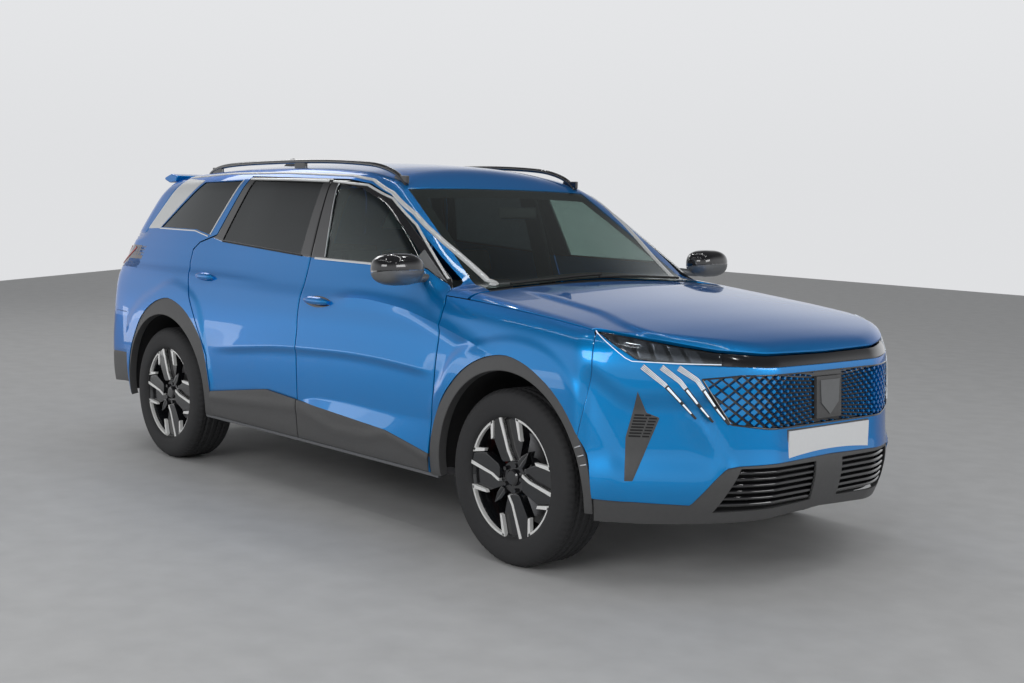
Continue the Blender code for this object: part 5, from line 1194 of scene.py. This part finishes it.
def claws(side):
    """Three slanted lamps beside the grille."""
    lines = (
        ([(2.073, 0.770, 0.872), (2.136, 0.708, 0.804), (2.174, 0.668, 0.747), (2.217, 0.619, 0.679)], 0.021),
        ([(2.122, 0.717, 0.871), (2.171, 0.666, 0.820), (2.219, 0.611, 0.732), (2.256, 0.566, 0.667)], 0.021),
        ([(2.164, 0.668, 0.870), (2.212, 0.615, 0.825), (2.260, 0.555, 0.718), (2.290, 0.514, 0.657)], 0.021),
    )
    for k, (points, width) in enumerate(lines):
        path = nose_path(points, side)
        share = np.linspace(0.0, 1.0, len(path))
        taper = width * (1.15 - 0.75 * share)
        ribbon(name_of(f"claw_{k}_ground", side), path, taper, GLOSS, lift=0.0012, crown=0.0005,
               thickness=0.016)
        upper = path[: int(len(path) * 0.44)]
        outward = normals(upper)
        sideways = np.cross(outward, np.gradient(upper, axis=0))
        sideways /= np.linalg.norm(sideways, axis=1, keepdims=True)
        for rib in range(4):
            place = (rib - 1.5) * 0.24 * taper[: len(upper)]
            ribbon(name_of(f"claw_{k}_rib_{rib}", side), upper + sideways * place[:, None], 0.0026, LAMP_GLOW,
                   lift=0.0030, crown=0.0010, count=5)
        for part, start, end in (("strip", 0.44, 0.70), ("foot", 0.735, 0.93)):
            first, last = int(len(path) * start), int(len(path) * end)
            ribbon(name_of(f"claw_{k}_{part}", side), path[first:last], taper[first:last] * 0.52, LAMP_GLOW,
                   lift=0.0026, crown=0.0014)


def vent(side):
    """The corner vent: a grey bezel with dark slots in its upper, wider part."""
    outline = [(2.067, 0.784, 0.777), (2.095, 0.760, 0.696), (2.130, 0.723, 0.678), (2.071, 0.802, 0.433),
               (2.050, 0.823, 0.442), (2.044, 0.817, 0.601), (2.061, 0.794, 0.714)]
    flat = [(math.degrees(math.atan2(y, x - NOSE_PIVOT_X)), z) for x, y, z in outline]
    outer = [(z, a) for a, z in (flat[0], flat[6], flat[5], flat[4])][::-1]
    inner = [(z, a) for a, z in (flat[0], flat[1], flat[2], flat[3])][::-1]
    z = np.concatenate([np.linspace(0.436, 0.676, 26), np.linspace(0.680, 0.777, 20)])[:, None]
    s = np.linspace(0.0, 1.0, 10)[None, :]
    angle = line(z, outer) * (1 - s) + line(z, inner) * s
    rows = mirrored(nose_points(angle, z + angle * 0), side)
    panel(name_of("corner_vent", side), rows, CLADDING, thickness=0.012, lift=0.0035 + relief(rows))
    for k in range(8):
        height = 0.606 + k * 0.0115
        low, high = line(height, inner) + 0.5, line(height, outer) - 0.5
        for part, start, end in (("outer", 0.42, 1.0), ("inner", 0.0, 0.34)):
            angles = low + (high - low) * np.linspace(start, end, 12)
            path = mirrored(nose_points(angles, height), side)
            path = path + normals(path) * relief(path)[:, None]
            ribbon(name_of(f"vent_slot_{part}_{k}", side), path, 0.0062, LINER, lift=0.0040, crown=0.0002,
                   thickness=0.003, count=3)


def plate():
    """Blank number plate on its holder."""
    x = float(on_body(np.array([[1.4, 0.0, FRONT_PLATE_Z]]), (1.0, 0.0, 0.0))[0, 0])
    for name, look, half, tall, near, far, bevel in (
            ("front_plate", WHITE_PLATE, PLATE_HALF, PLATE_HALF_HEIGHT, -0.004, 0.0035, 0.0015),
            ("front_plate_holder", CLADDING, 0.266, 0.062, -0.030, -0.003, 0.003)):
        low = (x + near, -half, FRONT_PLATE_Z - tall)
        boxes(name, look, [(low, (x + far, half, FRONT_PLATE_Z + tall))], bevel=bevel)


def screens_and_roof():
    """Windscreen, roof, rails, wipers and aerial."""
    x = SCREEN_BASE_X + spaced(0.72, 0.016) * (SCREEN_TOP_X + SEAM_GAP - SCREEN_BASE_X)
    across = spaced(1.3, 0.02) * 2 - 1
    rows = np.array([top_points(k, across * (seam_y(k) - SEAM_GAP)) for k in x])
    panel("windscreen_pane", rows, SCREEN_GLASS, thickness=0.005, roll=0.0,
          replaces=["windscreen"])
    border = [(1.0, -0.640), (1.0, 0.640), (0.395, 0.515), (0.395, -0.515)]
    cut = prism("screen border cut", border, 0.9, 1.8, plane="xy")
    panel("windscreen_border", rows, SEAL, thickness=0.0015, lift=-0.0056, roll=0.0,
          cutters=[cut])
    x = SCREEN_TOP_X - SEAM_GAP + spaced(2.0, 0.02) * (ROOF_REAR_X - SCREEN_TOP_X + SEAM_GAP)
    rows = np.array([top_points(k, across * (seam_y(k) - SEAM_GAP)) for k in x])
    panel("roof_skin", rows, PAINT, replaces=["roof"])
    lining = rows - normals(rows) * 0.03
    panel("roof_lining", lining, PALE_TRIM, thickness=0.004, roll=0.0)
    for side in (-1, 1):
        along = np.linspace(0.30, -1.56, 90)
        base = top_points(along, side * RAIL_Y)
        share = np.linspace(-1.0, 1.0, 90)
        height = 0.034 * (1 - np.abs(share) ** 14) - 0.002
        path = base + np.array([0, 0, 1.0]) * height[:, None]
        tube(name_of("roof_rail", side), path, 0.0115, GLOSS, sides=14)
        for k, x in enumerate((0.26, -0.62, -1.48)):
            foot = top_points(np.array([x]), np.array([side * RAIL_Y]))[0]
            low = (x - 0.05, foot[1] - 0.009, foot[2] - 0.01)
            high = (x + 0.05, foot[1] + 0.009, foot[2] + 0.028)
            boxes(name_of(f"rail_foot_{k}", side), GLOSS, [(low, high)], bevel=0.004)
    bm = bmesh.new()
    crown = float(top_points(np.array([-1.53]), np.array([0.0]))[0, 2])
    outline = [(-1.655, crown - 0.004), (-1.405, crown - 0.004), (-1.440, crown + 0.010), (-1.530, 1.676),
               (-1.565, 1.6925), (-1.592, 1.690), (-1.620, crown + 0.020)]
    face = bm.faces.new([bm.verts.new((x, 0.0, z)) for x, z in outline])
    made = bmesh.ops.extrude_face_region(bm, geom=[face], use_keep_orig=True)
    moved = [v for v in made["geom"] if isinstance(v, bmesh.types.BMVert)]
    bmesh.ops.translate(bm, verts=moved, vec=(0, 0.001, 0))
    for vert in bm.verts:
        way = 1.0 if vert in moved else -1.0
        vert.co.y = way * (0.006 + 0.026 * (1.6925 - vert.co.z) / 0.045)
    bmesh.ops.recalc_face_normals(bm, faces=bm.faces)
    rounded(bm, list(bm.edges), 0.0035, 3)
    shown(bm, "aerial_fin", GLOSS, sharp=50.0)
    places = (1.052, 1.06, 1.08, 1.10, 1.115, 1.124)
    cowl = np.array([top_points(k, np.linspace(-0.70, 0.70, 60)) for k in places])
    panel("cowl_grille", cowl, SEAL, thickness=0.006, lift=-0.012, roll=0.0)
    for y0, y1, x0, x1 in ((-0.56, 0.02, 1.072, 1.046), (-0.02, 0.55, 1.076, 1.050)):
        flat, _ = resampled([(x0, y0), (x1, y1)], 0.02)
        path = top_points(flat[:, 0], flat[:, 1]) + np.array([0, 0, 0.010])
        tube(f"wiper_{'right' if y0 < -0.1 else 'left'}", path, 0.006, SEAL, sides=8)


def tail():
    """Tailgate with spoiler and glass, rear bumper and blank plate."""
    s = spaced(1.5, 0.014)
    rows = []
    for z in 0.790 + spaced(0.758, 0.012) * 0.758:
        edge = line(z, TAIL_SEAM)
        rows.append(tail_points(edge + s * (180 - 2 * edge), z))
    rows = np.array(rows)
    cutters = [through_end("tail window cut", TAIL_WINDOW, TAIL_REACH)]
    panel("tailgate_skin", rows, PAINT, "tailgate_lid", thickness=0.02, cutters=cutters,
          replaces=["tailgate"])
    kept = through_end("tail window keep", grown(TAIL_WINDOW, 0.004), TAIL_REACH)
    panel("tailgate_pane", rows, PRIVACY_GLASS, "tailgate_lid", thickness=0.004, lift=-0.003, roll=0.0,
          keepers=[kept], replaces=["tailgate_glass"])
    lid = np.array([top_points(k, np.linspace(-0.585, 0.585, 60)) for k in np.linspace(-1.737, -2.000, 20)])
    panel("tailgate_lid_skin", lid, PAINT, "tailgate_lid", thickness=0.02)
    outline = [(-1.880, 1.572), (-1.960, 1.583), (-2.036, 1.562), (-2.038, 1.548), (-1.980, 1.530),
               (-1.900, 1.536)]
    shown(extruded(outline, -0.600, 0.600, 0.008, 3), "tail_spoiler", PAINT, "tailgate_lid")
    angles = spaced(2.4, 0.014) * (180 - 2 * TAIL_START) + TAIL_START
    foot = 0.285 + 0.085 * (1 - ramp(90 - np.abs(angles - 90), 22, 62))
    rows = np.array([tail_points(angles, foot + share * (REAR_BUMPER_TOP - foot))
                     for share in spaced(0.51, 0.014)])
    split = 16
    panel("rear_bumper_skin", rows[split:], PAINT, thickness=0.012, replaces=["rear_bumper"])
    panel("rear_bumper_cladding", rows[:split + 1], CLADDING, thickness=0.012, lift=-0.001)
    strip = np.array([tail_points(np.linspace(50.5, 129.5, 80), z) for z in np.linspace(1.050, 1.150, 9)])
    panel("tail_strip", strip, GLOSS, "tailgate_lid", thickness=0.006, lift=0.003)
    recess = np.array([tail_points(np.linspace(72, 108, 30), z) for z in np.linspace(0.835, 0.985, 10)])
    panel("tail_plate_recess", recess, CLADDING, "tailgate_lid", thickness=0.006, lift=0.002)
    x = float(on_body(np.array([[-1.5, 0.0, 0.905]]), (-1.0, 0.0, 0.0))[0, 0])
    low = (x - 0.008, -PLATE_HALF, REAR_PLATE_Z - PLATE_HALF_HEIGHT)
    high = (x + 0.004, PLATE_HALF, REAR_PLATE_Z + PLATE_HALF_HEIGHT)
    boxes("rear_plate", WHITE_PLATE, [(low, high)], "tailgate_lid", bevel=0.0015)


def polar(radius, angle, mirrored, half_turn, side):
    """A point of the wheel's face from its place in the pattern."""
    turn = math.radians((140 + angle if mirrored else 140 - angle) + (180 if half_turn else 0))
    x = radius * math.cos(turn)
    return (x if side < 0 else -x), radius * math.sin(turn)


def plate_piece(bm, points, low, high, bevel=0.003):
    """A flat piece of the wheel's face, given by its outline, added to a mesh."""
    face = bm.faces.new([bm.verts.new((x, low, z)) for x, z in points])
    made = bmesh.ops.extrude_face_region(bm, geom=[face])
    moved = [v for v in made["geom"] if isinstance(v, bmesh.types.BMVert)]
    bmesh.ops.translate(bm, verts=moved, vec=(0, high - low, 0))
    new_edges = list({e for v in moved for e in v.link_edges if all(w in moved for w in e.verts)})
    if bevel:
        rounded(bm, new_edges, bevel, 2)


def turned(bm, profile, steps, closed=True):
    """A ring turned about the axle, added to a mesh."""
    ring = [bm.verts.new((r, w, 0)) for r, w in profile]
    pairs = list(zip(ring, ring[1:] + ring[:1])) if closed else list(zip(ring, ring[1:]))
    edges = [bm.edges.new(pair) for pair in pairs]
    bmesh.ops.spin(bm, geom=ring + edges, axis=(0, 1, 0), cent=(0, 0, 0), steps=steps, angle=2 * math.pi,
                   use_merge=True)


def wheels(word, axle_x, side):
    """A wheel with its pinwheel spokes, disc and tyre."""
    name = name_of(word, side)
    rides = f"wheel_{name}"
    axle = Matrix.Translation((axle_x, side * TRACK_HALF, AXLE_Z))
    out = side

    def finish(bm, part, look, sharp=35.0, **ties):
        bmesh.ops.transform(bm, matrix=axle, verts=bm.verts)
        return shown(bm, f"{name}_{part}", look, rides, sharp=sharp, **ties)

    bm = bmesh.new()
    barrel = [(0.2450, 0.090), (0.2555, 0.097), (0.2570, 0.101), (0.2555, 0.103), (0.2525, 0.102),
              (0.2500, 0.096), (0.2360, 0.080), (0.2250, 0.03), (0.2230, -0.092), (0.2440, -0.100),
              (0.2445, -0.092)]
    turned(bm, [(r, w * out) for r, w in barrel], 96)
    finish(bm, "rim", DARK_WHEEL, replaces=[f"{name}_wheel"])
    dark = bmesh.new()
    black = bmesh.new()
    bright = bmesh.new()
    blade = [(0.980, 24.4), (0.980, 29.7), (0.980, 35.0), (0.46, 42.6), (0.30, 59.0), (0.26, 35.0),
             (0.30, 12.0), (0.356, 9.0), (0.70, 13.0)]
    cut_line = [(0.980, 35.0), (0.46, 42.6), (0.300, 59.0), (0.272, 52.0), (0.425, 37.8), (0.980, 31.4)]
    spoke = [(0.985, 34.0), (0.985, 45.0), (0.985, 56.5), (0.66, 68.0), (0.30, 75.0), (0.26, 50.0),
             (0.42, 40.0)]
    first_leg = [(0.984, 18.9), (0.736, 8.6), (0.730, 12.8), (0.984, 23.2)]
    first_arc = [(0.984, a) for a in (0, 4, 8, 12, 16, 21)] + [(0.938, a) for a in (21, 16, 12, 8, 4, 0)]
    second_leg = [(0.978, 54.8), (0.66, 65.8), (0.655, 70.4), (0.962, 59.4)]
    second_arc = [(0.980, a) for a in (56.5, 62, 68, 74, 80, 85, 90)] + [(0.936, a) for a in
                                                                           (90, 85, 80, 74, 68, 62, 56.5)]
    petal = [(0.25, 90.0), (0.30, 76.0), (0.44, 81.0), (0.62, 90.0)]
    for mirrored in (False, True):
        for half_turn in (False, True):
            def place(points):
                return [polar(r * WHEEL_FACE_RADIUS, a, mirrored, half_turn, side) for r, a in points]

            plate_piece(dark, place(blade), out * (WHEEL_FACE - 0.040), out * WHEEL_FACE)
            plate_piece(black, place(spoke), out * (WHEEL_FACE - 0.056), out * (WHEEL_FACE - 0.018))
            plate_piece(dark, place(petal), out * (WHEEL_FACE - 0.040), out * (WHEEL_FACE - 0.004))
            for points in (first_leg, first_arc, second_leg, second_arc, cut_line):
                plate_piece(bright, place(points), out * (WHEEL_FACE - 0.016), out * (WHEEL_FACE + 0.0022),
                            0.0006)
    finish(dark, "blades", DARK_WHEEL)
    finish(black, "spokes", GLOSS)
    finish(bright, "cut_edges", CUT_METAL)
    bm = bmesh.new()
    hub = [(0.0, 0.030), (0.072, 0.030), (0.074, 0.070), (0.066, 0.080), (0.036, 0.078), (0.034, 0.088),
           (0.028, 0.093), (0.0, 0.095)]
    turned(bm, [(r, w * out) for r, w in hub], 64, closed=False)
    bmesh.ops.remove_doubles(bm, verts=bm.verts, dist=1e-6)
    for k in range(5):
        turn = 2 * math.pi * k / 5
        made = bmesh.ops.create_cone(bm, cap_ends=True, segments=6, radius1=0.010, radius2=0.009, depth=0.018)
        place = Matrix.Translation((0.054 * math.cos(turn), out * 0.083, 0.054 * math.sin(turn)))
        place = place @ Matrix.Rotation(math.radians(-90 * out), 4, "X")
        bmesh.ops.transform(bm, matrix=place, verts=made["verts"])
    finish(bm, "hub", GLOSS)
    bm = bmesh.new()
    disc = [(0.070, -0.052), (0.168, -0.052), (0.168, -0.030), (0.070, -0.030)]
    turned(bm, [(r, w * out) for r, w in disc], 72)
    finish(bm, "disc", DISC)
    if word == "front":
        bm = bmesh.new()
        rounded_box(bm, (-0.185, -0.055, -0.085), (-0.105, -0.010, 0.085), 0.014)
        if side > 0:
            bmesh.ops.scale(bm, verts=bm.verts, vec=(1, -1, 1))
        bmesh.ops.transform(bm, matrix=axle @ Matrix.Scale(-1, 4, (0, 1, 0)), verts=bm.verts)
        shown(bm, f"{name}_caliper", CALIPER, name_of("upright", side), sharp=40.0)
    tyre(name, axle, out, rides)


def tyre(name, axle, out, rides):
    """The tyre: side walls with rings and a block tread."""
    half = TYRE_WIDTH / 2
    wall = [(0.2470, 0.020), (0.2520, 0.010), (0.2620, 0.004), (0.2800, 0.0005), (0.3000, 0.0),
            (0.3180, 0.001), (0.3350, 0.005), (0.3450, 0.010), (0.3530, 0.018), (0.3590, 0.027),
            (0.3625, 0.036)]
    profile = [(radius, inset - half) for radius, inset in wall]
    tread = [(AXLE_Z - 0.0015 * (w / 0.08) ** 2, w) for w in np.linspace(-0.076, 0.076, 31)]
    profile = profile + tread + [(r, -w) for r, w in reversed(profile)]
    profile = np.array(profile + [(0.2460, half - 0.022), (0.2460, -half + 0.022)])
    steps = 288
    angles = np.linspace(0, 2 * math.pi, steps + 1)
    radius = profile[:, 0][:, None] + angles[None] * 0
    width = profile[:, 1][:, None] + angles[None] * 0
    on_tread = np.abs(width) < 0.080
    for groove in (-0.052, -0.018, 0.018, 0.052):
        radius = radius - 0.006 * (on_tread & (np.abs(width - groove) < 0.0042))
    blocks = np.sin(angles * 72 + np.sign(width) * 3.0 + width * 60) > 0.80
    radius = radius - 0.0045 * (blocks & on_tread & (np.abs(width) > 0.02))
    shoulder = (np.abs(width) >= 0.080) & (radius > 0.350)
    radius = radius - 0.0035 * (shoulder & (np.sin(angles * 72 + np.sign(width) * 3.0) > 0.80))
    rings = (np.abs(radius - 0.318) < 0.002) | (np.abs(radius - 0.262) < 0.002)
    width = width + np.sign(width) * 0.0008 * rings
    points = np.stack([radius * np.cos(angles), width * out, radius * np.sin(angles)], axis=-1)
    count = len(profile)
    bm = bmesh.new()
    bmesh.ops.create_grid(bm, x_segments=steps, y_segments=count - 1, size=0.5)
    verts = sorted(bm.verts, key=lambda v: (round(v.co.y, 5), round(v.co.x, 5)))
    for vert, point in zip(verts, points.reshape(-1, 3)):
        vert.co = point
    bmesh.ops.remove_doubles(bm, verts=bm.verts, dist=1e-6)
    bmesh.ops.bridge_loops(bm, edges=[e for e in bm.edges if e.is_boundary])
    bmesh.ops.transform(bm, matrix=axle, verts=bm.verts)
    shown(bm, f"{name}_tyre_tread", RUBBER, rides, replaces=[f"{name}_tyre"], sharp=40.0)


def baked(obj):
    """Give an object the mesh that its modifiers make."""
    graph = bpy.context.evaluated_depsgraph_get()
    made = bpy.data.meshes.new_from_object(obj.evaluated_get(graph))
    obj.modifiers.clear()
    obj.data = made


def pad(name, size, seams, top_axis):
    """A sewn pad about the origin: a rounded block held along its seams and filled between them."""
    bm = bmesh.new()
    rounded_box(bm, [PAD_SLACK - s / 2 for s in size], [s / 2 - PAD_SLACK for s in size], min(size) * 0.30, 5)
    mesh = bpy.data.meshes.new(name)
    bm.to_mesh(mesh)
    bm.free()
    obj = bpy.data.objects.new(name, mesh)
    bpy.context.scene.collection.objects.link(obj)
    HELPERS.append(obj)
    remesh = obj.modifiers.new("even mesh", "REMESH")
    remesh.mode = "VOXEL"
    remesh.voxel_size = PAD_MESH
    baked(obj)
    sewn = obj.vertex_groups.new(name="sewn")
    held = []
    for vert in obj.data.vertices:
        side_seam = abs(vert.co[top_axis] - size[top_axis] * 0.10) / SEAM_WIDTH
        near = min([abs(vert.co[axis] - place) / SEAM_WIDTH for axis, place in seams] + [9.0])
        if vert.co[top_axis] < size[top_axis] * 0.15:
            near = 9.0
        near = min(near, side_seam)
        if near < 1.0:
            vert.co -= vert.normal * SEAM_DEPTH * (1 - near) ** 0.5
        if near < 0.55:
            held.append(vert.index)
    sewn.add(held, 1.0, "REPLACE")
    fill(obj)
    return obj.data


def fill(obj):
    """Blow a sewn pad up a little with the cloth solver, no point further than the cover gives."""
    start = np.array([vert.co for vert in obj.data.vertices])
    cloth = obj.modifiers.new("cover", "CLOTH")
    cloth.settings.quality = 4
    cloth.settings.use_pressure = True
    cloth.settings.uniform_pressure_force = 4.0
    cloth.settings.effector_weights.gravity = 0.0
    cloth.settings.vertex_group_mass = "sewn"
    for number in range(1, 21):
        bpy.context.scene.frame_set(number)
    baked(obj)
    bpy.context.scene.frame_set(1)
    end = np.array([vert.co for vert in obj.data.vertices])
    moved = end - start
    length = np.maximum(np.linalg.norm(moved, axis=1, keepdims=True), 1e-9)
    end = start + moved * np.minimum(PAD_GIVE / length, 1.0)
    for vert, place in zip(obj.data.vertices, end):
        vert.co = place


def placed(bm, mesh, scale, matrix):
    """Add a copy of a pad to a mesh."""
    before = len(bm.verts)
    bm.from_mesh(mesh)
    bm.verts.ensure_lookup_table()
    fresh = bm.verts[before:]
    bmesh.ops.scale(bm, verts=fresh, vec=scale)
    bmesh.ops.transform(bm, matrix=matrix, verts=fresh)


def seats():
    """Front seats, the second-row bench and the third row."""
    pads = {
        "cushion": pad("cushion pad", CUSHION_SIZE,
                       [(1, -0.15), (1, 0.15), (0, -0.08), (0, 0.04), (0, 0.16)], 2),
        "back": pad("back pad", BACK_SIZE, [(1, -0.15), (1, 0.15), (2, -0.14), (2, 0.0), (2, 0.14)], 0),
        "rest": pad("head pad", REST_SIZE, [], 0),
    }
    for side in (-1, 1):
        y = side * 0.37
        place_seat(name_of("seat_front", side), pads, 0.08, y, 0.50, 0.62, 1.16, 0.285)
    place_seat("seats_second_row", pads, -0.60, 0.0, 1.10, 0.62, 1.13, 0.285, splits=(-0.37, 0.0, 0.37))
    place_seat("seats_third_row", pads, -1.36, 0.0, 1.00, 0.73, 1.08, 0.53, splits=(-0.25, 0.25))


def place_seat(name, pads, x, y, width, cushion_top, back_top, floor, splits=(0.0,)):
    """One seat or bench: cushions, backs and head restraints on a base."""
    bm = bmesh.new()
    each = width / len(splits)
    high = back_top - cushion_top - 0.04
    tilt = Matrix.Translation((x - 0.20, 0, cushion_top - 0.05)) @ Matrix.Rotation(math.radians(-19), 4, "Y")
    for centre in splits:
        middle = y + centre
        share = (each - 0.008) / CUSHION_SIZE[1]
        seated = Matrix.Translation((x + 0.02, middle, cushion_top - 0.081))
        placed(bm, pads["cushion"], (1, share, 1), seated)
        placed(bm, pads["back"], (1, share, high / BACK_SIZE[2]),
               tilt @ Matrix.Translation((0, middle, high / 2)))
        placed(bm, pads["rest"], (1, 1, 1), tilt @ Matrix.Translation((0, middle, high + 0.095)))
    made = shown(bm, f"{name}_pads", FABRIC, replaces=[name], sharp=80.0)
    boxes(f"{name}_base", TRIM, [((x - 0.20, y - width / 2 + 0.05, floor + 0.001),
                                  (x + 0.22, y + width / 2 - 0.05, cushion_top - 0.14))], bevel=0.02)
    for centre in splits:
        for post in (-0.045, 0.045):
            bar = [tilt @ Vector((0, y + centre + post, high + rise)) for rise in (-0.02, 0.05)]
            flat, _ = resampled([tuple(p) for p in bar], 0.01)
            tube(f"{name}_post_{round((centre + post) * 1000) % 1000}", flat, 0.006, CHROME, sides=10)


def cabin():
    """Dashboard, console, screen, steering wheel and inside mirror."""
    outline = [(0.62, 0.66), (0.98, 0.50), (1.025, 0.50), (1.025, 1.02), (0.93, 1.045), (0.70, 0.985),
               (0.62, 0.88)]
    shown(extruded(outline, -0.690, 0.690, 0.03, 4), "dashboard_top", TRIM, replaces=["dashboard"])
    boxes("centre_console", TRIM, [((0.30, -0.115, 0.29), (0.80, 0.115, 0.64))], bevel=0.02, segments=3)
    boxes("instrument_binnacle", TRIM, [((0.66, -0.52, 0.985), (0.80, -0.22, 1.035))], bevel=0.015, segments=3)
    boxes("centre_screen", SCREEN, [((0.655, -0.14, 0.93), (0.672, 0.14, 1.07))], bevel=0.005)
    boxes("inside_mirror", GLOSS, [((0.46, -0.12, 1.385), (0.48, 0.12, 1.445))], bevel=0.008)
    tilt = math.radians(STEERING_TILT)
    axis = Vector((-math.cos(tilt), 0.0, math.sin(tilt)))
    turn = Vector((0, 1, 0)).rotation_difference(axis).to_matrix().to_4x4()
    centre = Vector(STEERING_PLACE)
    bm = bmesh.new()
    rim = [(0.175 + 0.015 * math.cos(k * math.pi / 8), 0.015 * math.sin(k * math.pi / 8)) for k in range(16)]
    turned(bm, rim, 64)
    rounded_box(bm, (-0.055, -0.020, -0.045), (0.055, 0.010, 0.045), 0.015)
    for angle in (0, 180, 270):
        spin = Matrix.Rotation(math.radians(angle), 4, "Y")
        rounded_box(bm, (-0.018, -0.007, -0.165), (0.018, 0.005, -0.030), 0.004, 2, spin)
    bmesh.ops.transform(bm, matrix=Matrix.Translation(centre) @ turn, verts=bm.verts)
    shown(bm, "steering_wheel_grip", TRIM, "steering", replaces=["steering_wheel"])
    path = [centre - axis * 0.036, centre - axis * 0.25]
    flat, _ = resampled(path, 0.02)
    tube("steering_column", flat, 0.028, TRIM, sides=20)


def running_gear():
    """The part's own underbody pieces, with their finish."""
    nodes = ("underbody", "front_subframe", "rear_axle", "engine_block", "knuckle_left", "knuckle_right")
    for node, look in zip(nodes, [TRIM] + [STEEL] * 5):
        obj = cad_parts[node]
        obj.data.materials.clear()
        obj.data.materials.append(look)


def lamp(name, place, target, size, power):
    """A soft rectangular lamp aimed at a point."""
    light = bpy.data.lights.new(name, "AREA")
    light.shape = "RECTANGLE"
    light.size, light.size_y = size
    light.energy = power
    made = bpy.data.objects.new(name, light)
    made.location = place
    made.rotation_euler = (Vector(target) - Vector(place)).to_track_quat("-Z", "Y").to_euler()
    bpy.context.scene.collection.objects.link(made)


def stops(tree, value, places):
    """Grey levels against a value, smooth between the stops."""
    made = tree.nodes.new("ShaderNodeValToRGB")
    made.color_ramp.interpolation = "EASE"
    elements = made.color_ramp.elements
    while len(elements) < len(places):
        elements.new(0.5)
    for element, (place, level) in zip(elements, places):
        element.position = place
        element.color = (level, level * 1.01, level * 1.03, 1.0)
    tree.links.new(value, made.inputs["Fac"])
    return made.outputs["Color"]


def backdrop():
    """Pale walls for the camera, in what metal mirrors and through glass; the rest is plain light."""
    world = bpy.data.worlds.new("studio")
    bpy.context.scene.world = world
    world.use_nodes = True
    tree = world.node_tree
    background = tree.nodes["Background"]
    background.inputs["Color"].default_value = (0.64, 0.65, 0.66, 1.0)
    background.inputs["Strength"].default_value = 0.62
    coordinates = tree.nodes.new("ShaderNodeTexCoord")
    split = tree.nodes.new("ShaderNodeSeparateXYZ")
    tree.links.new(coordinates.outputs["Generated"], split.inputs[0])
    path = tree.nodes.new("ShaderNodeLightPath")
    rays = path.outputs["Is Camera Ray"]
    for kind in ("Is Glossy Ray", "Is Transmission Ray"):
        either = tree.nodes.new("ShaderNodeMath")
        either.operation = "MAXIMUM"
        tree.links.new(rays, either.inputs[0])
        tree.links.new(path.outputs[kind], either.inputs[1])
        rays = either.outputs[0]
    seen = tree.nodes.new("ShaderNodeBackground")
    tree.links.new(stops(tree, split.outputs["Z"], BACKDROP), seen.inputs["Color"])
    mix = tree.nodes.new("ShaderNodeMixShader")
    tree.links.new(rays, mix.inputs[0])
    tree.links.new(background.outputs[0], mix.inputs[1])
    tree.links.new(seen.outputs[0], mix.inputs[2])
    tree.links.new(mix.outputs[0], tree.nodes["World Output"].inputs["Surface"])


def studio():
    """Floor, lamps, backdrop and camera."""
    bm = bmesh.new()
    bm.faces.new([bm.verts.new((x, y, 0.0)) for x, y in FLOOR_OUTLINE])
    mesh = bpy.data.meshes.new("floor")
    bm.to_mesh(mesh)
    bm.free()
    look = surface("studio_floor", (0.56, 0.56, 0.56), 0.62, second=(0.44, 0.44, 0.44), scale=6.0, grain=0.6,
                   grain_scale=28.0)
    mesh.materials.append(look)
    floor = bpy.data.objects.new("floor", mesh)
    bpy.context.scene.collection.objects.link(floor)
    floor.location.z = -0.0005
    lamp("key", (4.0, -8.5, 4.4), (0.3, 0.0, 0.8), (6.5, 2.4), 230)
    lamp("front", (9.5, 2.5, 3.4), (1.0, 0.0, 0.7), (4.0, 2.0), 130)
    lamp("back", (-9.0, 1.0, 7.0), (0.0, 0.0, 0.8), (4.0, 2.4), 90)
    lamp("low_side", (-4.8, -4.3, 0.34), (0.2, -0.9, 0.34), (5.0, 0.62), 15)
    for k, y in enumerate((-3.0, 1.6)):
        lamp(f"strip_{k}", (0.5, y, 5.6), (0.5, y, 0.0), (9.0, 0.09), 22)
    for k, (x, y) in enumerate(((-3.2, 1.9), (0.2, -1.7), (0.2, 1.9), (3.4, -1.7), (3.4, 1.9), (6.4, 0.2))):
        lamp(f"spot_{k}", (x, y, 5.2), (x, y, 0.0), (0.36, 0.16), 5)
    backdrop()
    bpy.context.scene.view_settings.view_transform = "Standard"
    flat = math.cos(CAMERA_PITCH)
    forward = Vector((math.cos(CAMERA_YAW) * flat, math.sin(CAMERA_YAW) * flat, math.sin(CAMERA_PITCH)))
    right = forward.cross(Vector((0, 0, 1))).normalized()
    up = right.cross(forward)
    turned_right = right * math.cos(CAMERA_ROLL) + up * math.sin(CAMERA_ROLL)
    turned_up = up * math.cos(CAMERA_ROLL) - right * math.sin(CAMERA_ROLL)
    lens = bpy.data.cameras.new("camera")
    lens.lens = CAMERA_LENS
    lens.sensor_width = 36.0
    camera = bpy.data.objects.new("camera", lens)
    turn = Matrix((turned_right, turned_up, -forward)).transposed().to_4x4()
    camera.matrix_world = Matrix.Translation(CAMERA_PLACE) @ turn
    bpy.context.scene.collection.objects.link(camera)
    bpy.context.scene.camera = camera


for car_side in (-1, 1):
    doors(car_side)
    body_sides(car_side)
    wings(car_side)
    wheels("front", FRONT_AXLE_X, car_side)
    wheels("rear", REAR_AXLE_X, car_side)
bonnet_lid()
nose()
screens_and_roof()
tail()
seats()
cabin()
running_gear()
studio()
for cutter in HELPERS:
    bpy.data.objects.remove(cutter, do_unlink=True)
